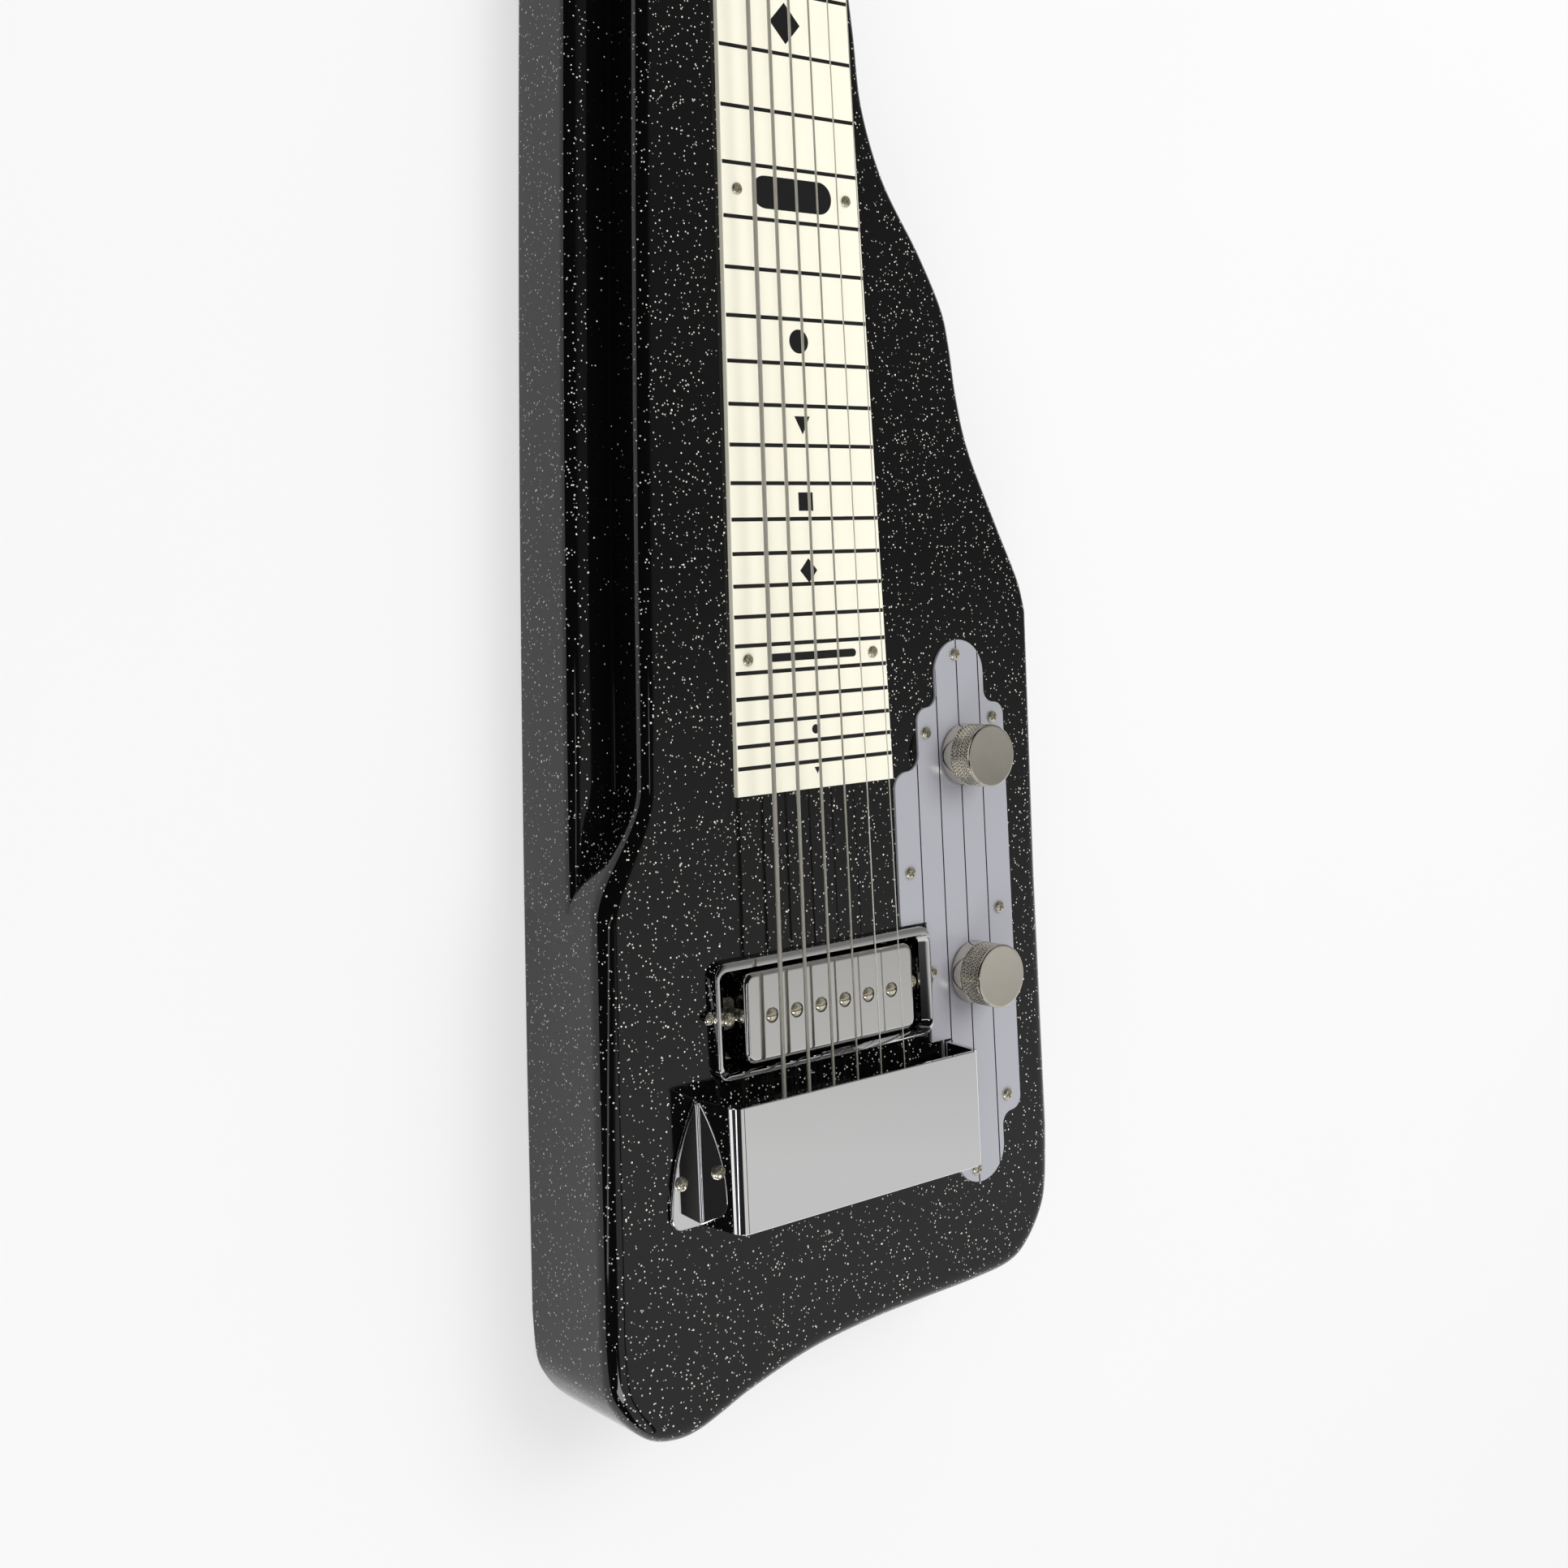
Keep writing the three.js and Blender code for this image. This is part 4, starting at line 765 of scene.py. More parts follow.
@dataclass(frozen=True)
class FlakeLacquer(Finish):
    """Black gloss lacquer over scattered silver flakes."""

    flake: Colour = (0.9, 0.87, 0.78)
    # Flakes on the upright sides take this dimmer, bluer colour: painted shade, as the sides get less light.
    shaded_side_flake: Colour = (0.62, 0.65, 0.66)
    fields: tuple[Triple, ...] = ((1.0, 0.26, 0.32), (1.9, 0.3, 0.16))
    dimming: float = 0.6
    side_limit: float = 0.6
    # Fewer flakes in the ledge's inner corner: painted shade, where flakes would mirror the dark riser.
    shaded_corner_share: float = 0.15
    corner_reach: float = 8.2
    corner_height: float = 13.0

    def paint(self, tree: Tree, base: Socket, grain: Socket) -> tuple[Socket, Socket, float]:
        """Adds two sizes of flake under the gloss, few in the ledge's inner corner as painted shade, and dimmer, bluer
        ones on the sides as painted shade.

        Args:
            tree: The material's nodes.
            base: The clouded colour.
            grain: The fine grain's height.

        Returns:
            The colour, the height and the height's depth in millimetres.
        """
        colour = base
        # Painted shade: the ledge's inner corner keeps fewer flakes.
        bare = self.corner(tree)
        up = tree.add("SeparateXYZ", {0: tree.add("NewGeometry").outputs["Normal"]}).outputs[2]
        # Painted shade: flakes on faces that stand upright take the dimmer side colour.
        side = tree.math("LESS_THAN", tree.math("ABSOLUTE", up), self.side_limit)
        bright = tree.mix(side, (*self.flake, 1), (*self.shaded_side_flake, 1))
        dim = tree.mix(self.dimming, bright, (0.0, 0.0, 0.0, 1))
        for spacing, radius, share in self.fields:
            flakes = tree.add("Group", node_tree=flake_field())
            for key, value in (("Spacing", spacing * MM), ("Radius", radius * MM)):
                flakes.inputs[key].default_value = value
            fewer = (self.shaded_corner_share - 1) * share
            tree.links.new(tree.math("MULTIPLY_ADD", bare, fewer, share), flakes.inputs["Share"])
            light = tree.mix(flakes.outputs["Brightness"], dim, bright)
            colour = tree.mix(flakes.outputs["Mask"], colour, light)
        return colour, grain, self.grain

    def corner(self, tree: Tree) -> Socket:
        """A mask of the corner between the ledge and its riser, by the surface's own place, where fewer flakes paint
        shade.

        Args:
            tree: The material's nodes.

        Returns:
            The mask, 1 in the corner.
        """
        body = Body()
        x, y, z = tree.add("SeparateXYZ", {0: tree.place()}).outputs[:3]
        along = tree.math("DIVIDE", tree.math("SUBTRACT", LAYOUT.y(0) * MM, y), body.end * MM)
        bow = tree.math("MULTIPLY", tree.math("MULTIPLY", along, tree.math("SUBTRACT", 1.0, along)), 4 * body.bow * MM)
        first, last = body.bass_edge
        line = tree.math("MULTIPLY_ADD", along, (last - first) * MM, (first - body.ledge_inset) * MM)
        apart = tree.math("ABSOLUTE", tree.math("ADD", x, tree.math("ADD", line, bow)))
        level = body.depth - body.ledge_drop
        mask = tree.math("LESS_THAN", apart, self.corner_reach * MM)
        for test, value, limit in (("GREATER_THAN", z, (level - 0.2) * MM),
                                   ("LESS_THAN", z, (level + self.corner_height) * MM),
                                   ("GREATER_THAN", y, LAYOUT.y(body.flare[0]) * MM)):
            mask = tree.math("MULTIPLY", mask, tree.math(test, value, limit))
        return mask


@dataclass(frozen=True)
class Pinstriped(Finish):
    """Satin sheet with dark lines that run the length of the plate."""

    first: float = 43.6
    pitch: float = 9.93
    count: int = 4
    line: float = 0.26
    ink: Colour = (0.01, 0.01, 0.014)

    def paint(self, tree: Tree, base: Socket, grain: Socket) -> tuple[Socket, Socket, float]:
        """Draws the lines by the surface's own place.

        Args:
            tree: The material's nodes.
            base: The clouded colour.
            grain: The fine grain's height.

        Returns:
            The colour, the height and the height's depth in millimetres.
        """
        x = tree.add("SeparateXYZ", {0: tree.place()}).outputs[0]
        cells = tree.math("DIVIDE", tree.math("SUBTRACT", x, self.first * MM), self.pitch * MM)
        nearest = tree.math("MINIMUM", tree.math("MAXIMUM", tree.math("ROUND", cells), 0.0), self.count - 1.0)
        apart = tree.math("MULTIPLY", tree.math("ABSOLUTE", tree.math("SUBTRACT", cells, nearest)), self.pitch * MM)
        line = tree.math("LESS_THAN", apart, self.line * MM)
        up = tree.add("SeparateXYZ", {0: tree.add("NewGeometry").outputs["Normal"]}).outputs[2]
        shown = tree.math("MULTIPLY", line, tree.math("GREATER_THAN", up, 0.9))
        return tree.mix(shown, base, (*self.ink, 1)), grain, self.grain


@dataclass(frozen=True)
class WoundWire(Finish):
    """Round-wound wire: fine ribs across the string, with painted shade in the grooves between them."""

    rib: float = 0.45
    groove_painted_shade: float = 0.55
    depth_share: float = 0.35

    def paint(self, tree: Tree, base: Socket, grain: Socket) -> tuple[Socket, Socket, float]:
        """Adds ribs along the length of the instrument, darkening the grooves as painted shade.

        Args:
            tree: The material's nodes.
            base: The clouded colour.
            grain: The fine grain's height; not used here.

        Returns:
            The colour, the height and the height's depth in millimetres.
        """
        y = tree.add("SeparateXYZ", {0: tree.place()}).outputs[1]
        wave = tree.math("SINE", tree.math("MULTIPLY", y, 2 * pi / (self.rib * MM)))
        ribs = tree.math("ABSOLUTE", wave)
        # Painted shade: the grooves between the ribs take a darker copy of the colour.
        groove = tuple(c * self.groove_painted_shade for c in self.colour)
        return tree.mix(ribs, (*groove, 1), base), ribs, self.rib * self.depth_share


LACQUER = FlakeLacquer("flake_lacquer", "black_lacquer", (0.0028, 0.0028, 0.003), 0.05, smudge=0.03,
                       grain=0.0015, grain_scale=120.0, shade=0.2)
CREAM = Finish("cream_sheet", "board_cream", rgb(250, 247, 228), 0.32, smudge=0.08, grain=0.004, shade=0.03)
INK = Finish("black_print", "board_cream", (0.008, 0.008, 0.009), 0.4, grain=0.003)
# The sheet's edge is a darker grey copy of the cream: painted shade on the sides of the sheet.
SHADED_SHEET_EDGE = Finish("painted_shade_sheet_edge", "board_cream", rgb(150, 148, 140), 0.4)
BONE = Finish("bone_nut", "nut_cream", rgb(236, 228, 205), 0.35, smudge=0.1, grain=0.006, shade=0.12)
CHROME = Finish("bright_chrome", "chrome", (0.9, 0.9, 0.9), 0.035, metallic=1.0, smudge=0.03, grain=0.0006,
                grain_scale=300.0, shade=0.02)
COVER_CHROME = Finish("cover_chrome", "satin_chrome", (0.84, 0.83, 0.81), 0.07, metallic=1.0, grain=0.0006,
                      grain_scale=400.0, shade=0.04)
NICKEL = Finish("polished_nickel", "nickel", (0.8, 0.76, 0.66), 0.14, metallic=1.0, smudge=0.12, grain=0.002,
                cloud_scale=160.0, shade=0.12)
HEADS = Finish("screw_nickel", "nickel", (0.84, 0.8, 0.66), 0.18, metallic=0.9, smudge=0.12, grain=0.003,
               cloud_scale=300.0, shade=0.15)
POLES = Finish("pole_nickel", "nickel", (0.88, 0.83, 0.68), 0.13, metallic=0.85, smudge=0.08, grain=0.001,
               cloud_scale=300.0, shade=0.08)
KNOB_TOP = Finish("turned_nickel", "nickel", (0.88, 0.83, 0.66), 0.36, metallic=0.62, smudge=0.16, grain=0.003,
                  cloud_scale=110.0, shade=0.16)
# Inside of the hand rest's arch: a rougher chrome whose dark grey colour is painted shade.
SHADED_UNDERSIDE = Finish("dull_chrome_painted_shade", "chrome", (0.3, 0.3, 0.3), 0.4, metallic=0.9, smudge=0.2, grain=0.004, shade=0.3)
STEEL = Finish("plain_steel", "steel", (0.52, 0.51, 0.49), 0.32, metallic=1.0, smudge=0.15, grain=0.004)
PLATE = Pinstriped("striped_satin", "satin_plate", rgb(186, 186, 194), 0.28, metallic=0.25, grain=0.002,
                   shade=0.03)
WOUND = WoundWire("wound_string", "string_steel", (0.92, 0.89, 0.78), 0.36, metallic=0.72, smudge=0.1, grain=0.0)
PLAIN = Finish("plain_string", "string_steel", (0.92, 0.9, 0.8), 0.32, metallic=0.72, smudge=0.1, grain=0.0005)
BROWN = Finish("dipped_capacitor", "capacitor_brown", rgb(120, 62, 22), 0.4, smudge=0.15)
SLATE = Finish("dark_bobbin", "steel", (0.012, 0.012, 0.013), 0.5)


def dress(node: str, finish: Finish) -> None:
    """Gives a CAD node a finish and leaves its shape alone.

    Args:
        node: Name of the node.
        finish: What covers it.
    """
    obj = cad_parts[node]
    if not obj.data.materials:
        obj.data.materials.append(None)
    for slot in obj.material_slots:
        slot.material = finish.material()
    LOG.info("%s: dressed in %s", node, finish.name)


@dataclass(frozen=True)
class Screw:
    """A small domed screw head, with the start of its shank below."""

    radius: float = 2.1
    height: float = 1.3
    recess: float = 0.85
    drive: Drive = Drive.CROSS
    turn: float = 0.0
    steps: int = 9
    sides: int = 64

    def depth(self, x: float, y: float) -> float:
        """Depth of the recess at a place on the head, from 0 to 1.

        Args:
            x: Place along X from the middle.
            y: Place along Y from the middle.

        Returns:
            The share of the recess's full depth.
        """
        along, across = cos(self.turn), sin(self.turn)
        u, v = abs(x * along + y * across), abs(-x * across + y * along)
        half = self.radius * 0.15
        if self.drive is Drive.SLOT:
            return 1.0 if v < half * 1.15 else 0.0
        reach = self.radius * 0.62
        arm = (u < half and v < reach) or (v < half and u < reach)
        fall = 1 - max(u, v) / reach
        return 0.55 + 0.45 * fall if arm else 0.0

    def form(self, place: Matrix) -> Form:
        """The head as a fine grid, domed and recessed.

        Args:
            place: Where the head's seat is put.

        Returns:
            The closed form.
        """
        levels = [(self.radius * 0.5, -0.6 * self.height), (self.radius * 0.5, 0.0), (self.radius, 0.0),
                  (self.radius, self.height * 0.25)]
        angles = spokes(self.sides)
        rings = [[Vector((r * cos(a), r * sin(a), z)) for a in angles] for r, z in levels]
        first = 0 if self.drive is Drive.SLOT else 1  # only a slot reaches the rim, so other drives skip it
        for i in range(first, self.steps * 2):
            share = 1 - i / (self.steps * 2)
            ring = []
            for a in angles:
                x, y = self.radius * share * cos(a), self.radius * share * sin(a)
                dome = self.height * (0.25 + 0.75 * sqrt(max(0.0, 1 - share**2.6)))
                ring.append(Vector((x, y, dome - self.recess * self.depth(x, y))))
            rings.append(ring)
        return Form().merge(Form().loft(rings), place)


def screws(name: str, places: Sequence[Triple], screw: Screw = Screw(),
           finish: Finish = HEADS) -> bpy.types.Object:
    """Upright screws at places on the instrument, each turned by its own angle.

    Args:
        name: Name of the piece.
        places: The seat of each head.
        screw: The kind of screw.
        finish: What covers the heads.

    Returns:
        The object, on the root body.
    """
    form = Form()
    for i, (x, y, z) in enumerate(places):
        turned = replace(screw, turn=screw.turn + 0.7 * i)
        form.merge(turned.form(shift(x, y, z)), Matrix())
    return piece(name, form, [finish])


@dataclass
class Body:
    """The sawn and lacquered body with its stepped ledge and headstock."""

    depth: float = 44.5
    back_edge: float = 1.0
    ledge_edge: float = 3.8
    top_edges: Pair = (3.9, 6.3)
    ledge_drop: float = 16.0
    ledge_inset: float = 15.9
    flare: Pair = (460.5, 499.5)
    bass_edge: Pair = (57.8, 85.7)
    bow: float = 3.85
    foot: float = 0.7
    treble: float = 100.6
    neck_margin: float = 4.7
    tail_start: float = 594.0
    tail_drop: float = 63.1
    waist_span: Pair = (205.0, 414.0)
    shoulder: float = 12.0
    shoulder_radius: float = 9.0
    treble_radius: float = 4.0
    head_length: float = 152.0
    head_face: float = 32.5
    head_back: float = 15.5
    head_widths: Triple = (50.0, 84.0, 92.0)
    head_flare: Pair = (10.0, 32.0)
    head_corner: float = 10.0
    head_crown: float = 6.0
    head_edge: float = 2.5
    well_depth: float = 20.0
    pockets: Pairs = ((446.0, 477.0), (497.0, 550.5))
    pocket_width: float = 31.0
    pocket_corner: float = 8.0
    pocket_depth: float = 36.0
    socket: Pair = (508.0, 24.0)
    socket_bores: tuple[Triple, ...] = ((11.0, 64.6, 94.6), (5.0, 64.6, 103.0))
    post_bore: float = 4.3
    waist_shares: Pairs = (
        (0.077, 0.024), (0.187, 0.055), (0.299, 0.168), (0.408, 0.374), (0.495, 0.51), (0.556, 0.555),
        (0.647, 0.592), (0.734, 0.66), (0.853, 0.824), (0.945, 0.956))
    tail_shares: Pairs = (
        (0.0, 0.444), (0.005, 0.667), (0.023, 0.787), (0.053, 0.89), (0.09, 0.97), (0.134, 1.0),
        (0.175, 0.991), (0.223, 0.948), (0.276, 0.894), (0.378, 0.817), (0.459, 0.778), (0.566, 0.752),
        (0.667, 0.741), (0.803, 0.73), (0.889, 0.702), (0.938, 0.612), (0.978, 0.45), (0.993, 0.286))

    @property
    def end(self) -> float:
        """Where the bass edge meets the tail, from the nut."""
        return self.tail_start + self.tail_drop * self.tail_shares[0][1]

    def bass(self, distance: float) -> float:
        """The bass edge at a distance from the nut."""
        share = distance / self.end
        return -(lerp(*self.bass_edge, share) + 4 * self.bow * share * (1 - share))

    def raised(self, distance: float) -> float:
        """The bass edge of the part above the ledge, at a distance from the nut."""
        return self.bass(distance) + self.ledge_inset * (1 - smoothstep(distance, *self.flare))

    def neck(self, distance: float) -> float:
        """The treble edge of the neck at a distance from the nut."""
        return LAYOUT.board_half(distance) + self.neck_margin

    def outline(self) -> list[tuple[Vector, float, float]]:
        """Outline of the raised part, anticlockwise.

        Returns:
            Each point with the radii of the top edge and of the fillet above the ledge there.
        """
        found: list[tuple[Vector, float, float]] = []

        def put(x: float, distance: float, share: float = 0.0) -> None:
            """Adds one point of the outline, with a share of the fillet.

            Args:
                x: Place along X.
                distance: Place from the nut.
                share: Share of the fillet.
            """
            low = smoothstep(distance, *self.flare)
            fillet = self.foot * share * (1 - low)
            found.append((plan(x, LAYOUT.y(distance)), lerp(*self.top_edges, low), fillet))

        end = -self.shoulder
        for x, radius, start in ((self.neck(end) - self.treble_radius, self.treble_radius, 0),
                                 (self.raised(end) + self.shoulder_radius, self.shoulder_radius, 90)):
            for i, p in enumerate(arc(x, end + radius, radius, start, 90, 14)):
                put(p.x, 2 * (end + radius) - p.y, i / 14 if start else 0.0)
        low, high = self.flare
        stops = [low * i / 8 for i in range(1, 8)] + [lerp(low, high, i / 26) for i in range(27)]
        for distance in [*stops, (high + self.tail_start) / 2]:
            put(self.raised(distance), distance, 1.0)
        corner = self.bass(self.end)
        tail = [(lerp(corner, self.treble, x), self.tail_start + self.tail_drop * d) for x, d in self.tail_shares]
        for p in spline([*tail, (self.treble, self.tail_start)], 9):
            put(p.x, p.y)
        start, stop = self.waist_span
        put(self.treble, (self.tail_start + stop) / 2)
        waist = [(lerp(self.neck(start), self.treble, out), lerp(start, stop, s)) for s, out in self.waist_shares]
        for p in spline([(self.treble, stop), *reversed(waist), (self.neck(start), start)], 9):
            put(p.x, p.y)
        for distance in (start * 0.7, start * 0.35):
            put(self.neck(distance), distance)
        return found

    def shell(self) -> Form:
        """The raised part with its rounded top edge, down to the back.

        Returns:
            The closed form.
        """
        outline = self.outline()
        normals = inward([point for point, *_ in outline])
        low = [(self.back_edge - up, inset) for inset, up in reversed(quarter(self.back_edge, 5))]
        low = [(0.0, self.back_edge * 1.6), *low, (self.back_edge * 1.4, 0.0)]
        levels = [(z, inset, 0.0, 0.0, 0.0, 0.0) for z, inset in low]
        base = self.depth - self.ledge_drop
        levels += [(base, 0.0, 0.0, 0.0, 1.0, -0.6)]
        levels += [(base, 0.0, 0.0, 0.0, 1 - out, up) for out, up in quarter(1.0, 6)]
        high = [(0.0, 1.08), *((inset, 1 - up) for inset, up in quarter(1.0, 10)), (1.2, 0.0)]
        levels += [(self.depth, 0.0, into, down, 0.0, 0.0) for into, down in high]
        rings = []
        for z, inset, into, down, out, up in levels:
            rings.append([point + normal * (inset + into * edge - out * foot) + Vector((0, 0, z - down * edge + up * (
                foot if up > 0 else 1.0))) for (point, edge, foot), normal in zip(outline, normals)])
        return Form().loft(rings)

    def ledge(self) -> Form:
        """The ledge along the bass side, as far as the flare of the wall above it.

        Returns:
            The closed form.
        """
        radius, start, stop = self.shoulder_radius, -self.shoulder, self.flare[1] - 1.5
        inner = self.ledge_inset + radius + 4
        points = [plan(self.bass(start) + inner, LAYOUT.y(start + 5))]
        points += arc(self.bass(start) + radius, LAYOUT.y(start + radius), radius, 90, 90, 14)
        points += [plan(self.bass(stop * i / 24), LAYOUT.y(stop * i / 24)) for i in range(1, 25)]
        points += [plan(self.bass(stop) + inner, LAYOUT.y(stop))]
        level = self.depth - self.ledge_drop
        return Form().slab(points, 0.0, level, self.back_edge, self.ledge_edge, 9)

    def head(self) -> Form:
        """The headstock, which runs into the end of the body.

        Returns:
            The closed form.
        """
        root, base, end = self.head_widths
        low, high = self.head_flare

        def half(distance: float) -> float:
            """Half the headstock's width beyond the nut."""
            taper = max(0.0, (distance - high) / (self.head_length - high))
            return (lerp(root, base, smoothstep(distance, low, high)) + (end - base) * taper) / 2

        stops = [0.0] + [lerp(low, high, i / 20) for i in range(21)]
        treble = [plan(half(d), LAYOUT.scale / 2 + d) for d in stops]
        corner_y = LAYOUT.scale / 2 + self.head_length - self.head_crown - self.head_corner
        treble += arc(end / 2 - self.head_corner, corner_y, self.head_corner, 0, 78, 12)
        crown = plan(0, LAYOUT.scale / 2 + self.head_length)
        mirrored = [plan(-p.x, p.y) for p in reversed(treble)]
        return Form().slab([*treble, crown, *mirrored], self.head_back, self.head_face,
                           self.head_edge, self.head_edge, 6)

    def cutters(self) -> list[Form]:
        """Hollows for the pickup, the controls, the socket and the tuner posts.

        Returns:
            One form for each hollow.
        """
        above = self.depth + LAYOUT.overrun
        slot = rounded_box(*LAYOUT.pickup_slot, 2.0, 0, LAYOUT.y(LAYOUT.pickup_from_nut))
        forms = [Form().slab(slot, self.depth - self.well_depth, above)]
        for start, stop in self.pockets:
            pocket = rounded_box(self.pocket_width, stop - start, self.pocket_corner, LAYOUT.controls_x,
                                 LAYOUT.y((start + stop) / 2))
            forms.append(Form().slab(pocket, self.depth - self.pocket_depth, above))
        from_nut, height = self.socket
        place = sideways(0, LAYOUT.y(from_nut), height)
        forms += [Form().rod(*bore, 48, place) for bore in self.socket_bores]
        low, high = self.head_back - LAYOUT.overrun, self.head_face + LAYOUT.overrun
        forms += [Form().rod(self.post_bore, low, high, 32, shift(x, y)) for x, y in Tuners.places().values()]
        return forms

    def build(self) -> None:
        """Makes the body in place of its CAD node."""
        form = self.shell().cut(self.cutters(), [self.ledge(), self.head()])
        piece("body_shell", form, [LACQUER], replaces=["body"], sharp=28)


@dataclass
class Fretboard:
    """The printed sheet, its lines, its markers and its screws."""

    line: float = 1.25
    print_height: float = 0.04
    frets: int = 28
    markers: tuple[tuple[Marker, float, float, float], ...] = (
        (Marker.DISC, 75.0, 11.0, 11.0), (Marker.TRIANGLE, 129.0, 11.5, 10.5), (Marker.SQUARE, 176.5, 9.6, 9.6),
        (Marker.DIAMOND, 221.6, 12.4, 13.4), (Marker.BAR, 277.0, 32.4, 10.5), (Marker.DISC, 324.0, 7.7, 7.7),
        (Marker.TRIANGLE, 350.9, 6.3, 5.8), (Marker.SQUARE, 375.3, 5.9, 5.9), (Marker.DIAMOND, 397.3, 7.0, 7.8),
        (Marker.BAR, 424.4, 36.4, 2.6), (Marker.DISC, 447.9, 3.0, 3.0), (Marker.TRIANGLE, 461.0, 2.4, 2.1))
    fixings: Pairs = (
        (-18.6, 8.0), (18.6, 8.0), (-20.5, 129.0), (20.5, 129.0), (-22.3, 277.0), (22.3, 277.0),
        (-26.0, 424.6), (25.3, 424.6))

    def marker(self, kind: Marker, distance: float, width: float, length: float) -> Ring:
        """Outline of a marker, anticlockwise.

        Args:
            kind: Its shape.
            distance: Its middle, from the nut.
            width: Its size across the board.
            length: Its size along the board.

        Returns:
            The points of the outline.
        """
        y, w, h = LAYOUT.y(distance), width / 2, length / 2
        if kind is Marker.BAR:
            return rounded_box(width, length, h, 0, y, 12)
        if kind is Marker.DISC:
            return arc(0, y, w, 0, 360, 48)[:-1]
        corners = {
            Marker.DIAMOND: ((w, 0), (0, h), (-w, 0), (0, -h)),
            Marker.SQUARE: ((w, -h), (w, h), (-w, h), (-w, -h)),
            Marker.TRIANGLE: ((0, -h), (w, h), (-w, h)),
        }[kind]
        return [plan(x, y + dy) for x, dy in corners]

    def sheet(self) -> Form:
        """The sheet with a slightly eased top edge, cream above and a darker grey at its edge and underside, which is
        painted shade.

        Returns:
            The closed form.
        """
        low, high = LAYOUT.body_top, LAYOUT.board_top
        corners = [plan(s * LAYOUT.board_half(d), LAYOUT.y(d)) for s, d in
                   ((-1, 0), (-1, LAYOUT.board_length), (1, LAYOUT.board_length), (1, 0))]
        normals = inward(corners)
        rings = []
        for inset, z in ((0, low), (0, high - 0.25), (0.08, high - 0.08), (0.25, high)):
            rings.append([p + n * inset + Vector((0, 0, z)) for p, n in zip(corners, normals)])
        return Form().loft(rings, slot=1, cap_slot=0)

    def printing(self) -> Form:
        """Fret lines and markers as a thin layer of ink.

        Returns:
            One form for all the ink.
        """
        form = Form()
        low, high = LAYOUT.board_top - 0.02, LAYOUT.board_top + self.print_height
        for fret in range(1, self.frets + 1):
            distance = LAYOUT.scale * (1 - 2 ** (-fret / 12))
            half = LAYOUT.board_half(distance) - 0.3
            y = LAYOUT.y(distance)
            form.box((-half, y - self.line / 2, low), (half, y + self.line / 2, high))
        for marker in self.markers:
            form.slab(self.marker(*marker), low, high)
        return form

    def build(self) -> None:
        """Makes the sheet, its printing and its screws."""
        piece("fret_sheet", self.sheet(), [CREAM, SHADED_SHEET_EDGE], replaces=["fretboard"], sharp=50)
        piece("fret_print", self.printing(), [INK])
        places = [(x, LAYOUT.y(d), LAYOUT.board_top) for x, d in self.fixings]
        screws("fret_sheet_screws", places, Screw(radius=2.0, height=0.9, recess=0.7))


@dataclass
class Nut:
    """The slotted nut at the head end of the fretboard."""

    width: float = 43.0
    lip: float = 1.1
    edges: Pair = (1.2, 0.5)
    chamfer: float = 0.35

    def build(self) -> None:
        """Makes the nut with rounded edges and round-bottomed slots."""
        y, low, thick = LAYOUT.scale / 2, LAYOUT.body_top, LAYOUT.nut_thickness
        floor = LAYOUT.underside - LAYOUT.seat_gap
        top = floor + self.lip
        back, front = self.edges
        section = [(y, low), (y + thick, low)]
        section += [(p.x, p.y) for p in arc(y + thick - back, top - back, back, 0, 90, 8)]
        section += [(p.x, p.y) for p in arc(y + front, top - front, front, 90, 90, 4)]
        half, ease = self.width / 2, self.chamfer
        rings = []
        for x, shrink in ((-half, ease), (-half + ease, 0), (half - ease, 0), (half, ease)):
            middle, height = y + thick / 2, (low + top) / 2
            rings.append([Vector((x, middle + (a - middle) * (1 - shrink / 4), height + (b - height) * (
                1 - shrink / 8))) for a, b in section])
        tools = []
        for string, gauge in enumerate(LAYOUT.gauges, 1):
            x, r = LAYOUT.string_x(string, LAYOUT.nut_spread), gauge / 2 + LAYOUT.seat_gap
            groove = arc(0, 0, r, 180, 180, 8) + [plan(r, 4), plan(-r, 4)]
            tools.append(Form().loft([[Vector((x + p.x, yy, floor + r + p.y)) for p in groove]
                                      for yy in (y - LAYOUT.overrun, y + thick + LAYOUT.overrun)]))
        piece("nut_block", Form().loft(rings).cut(tools), [BONE], replaces=["nut"])


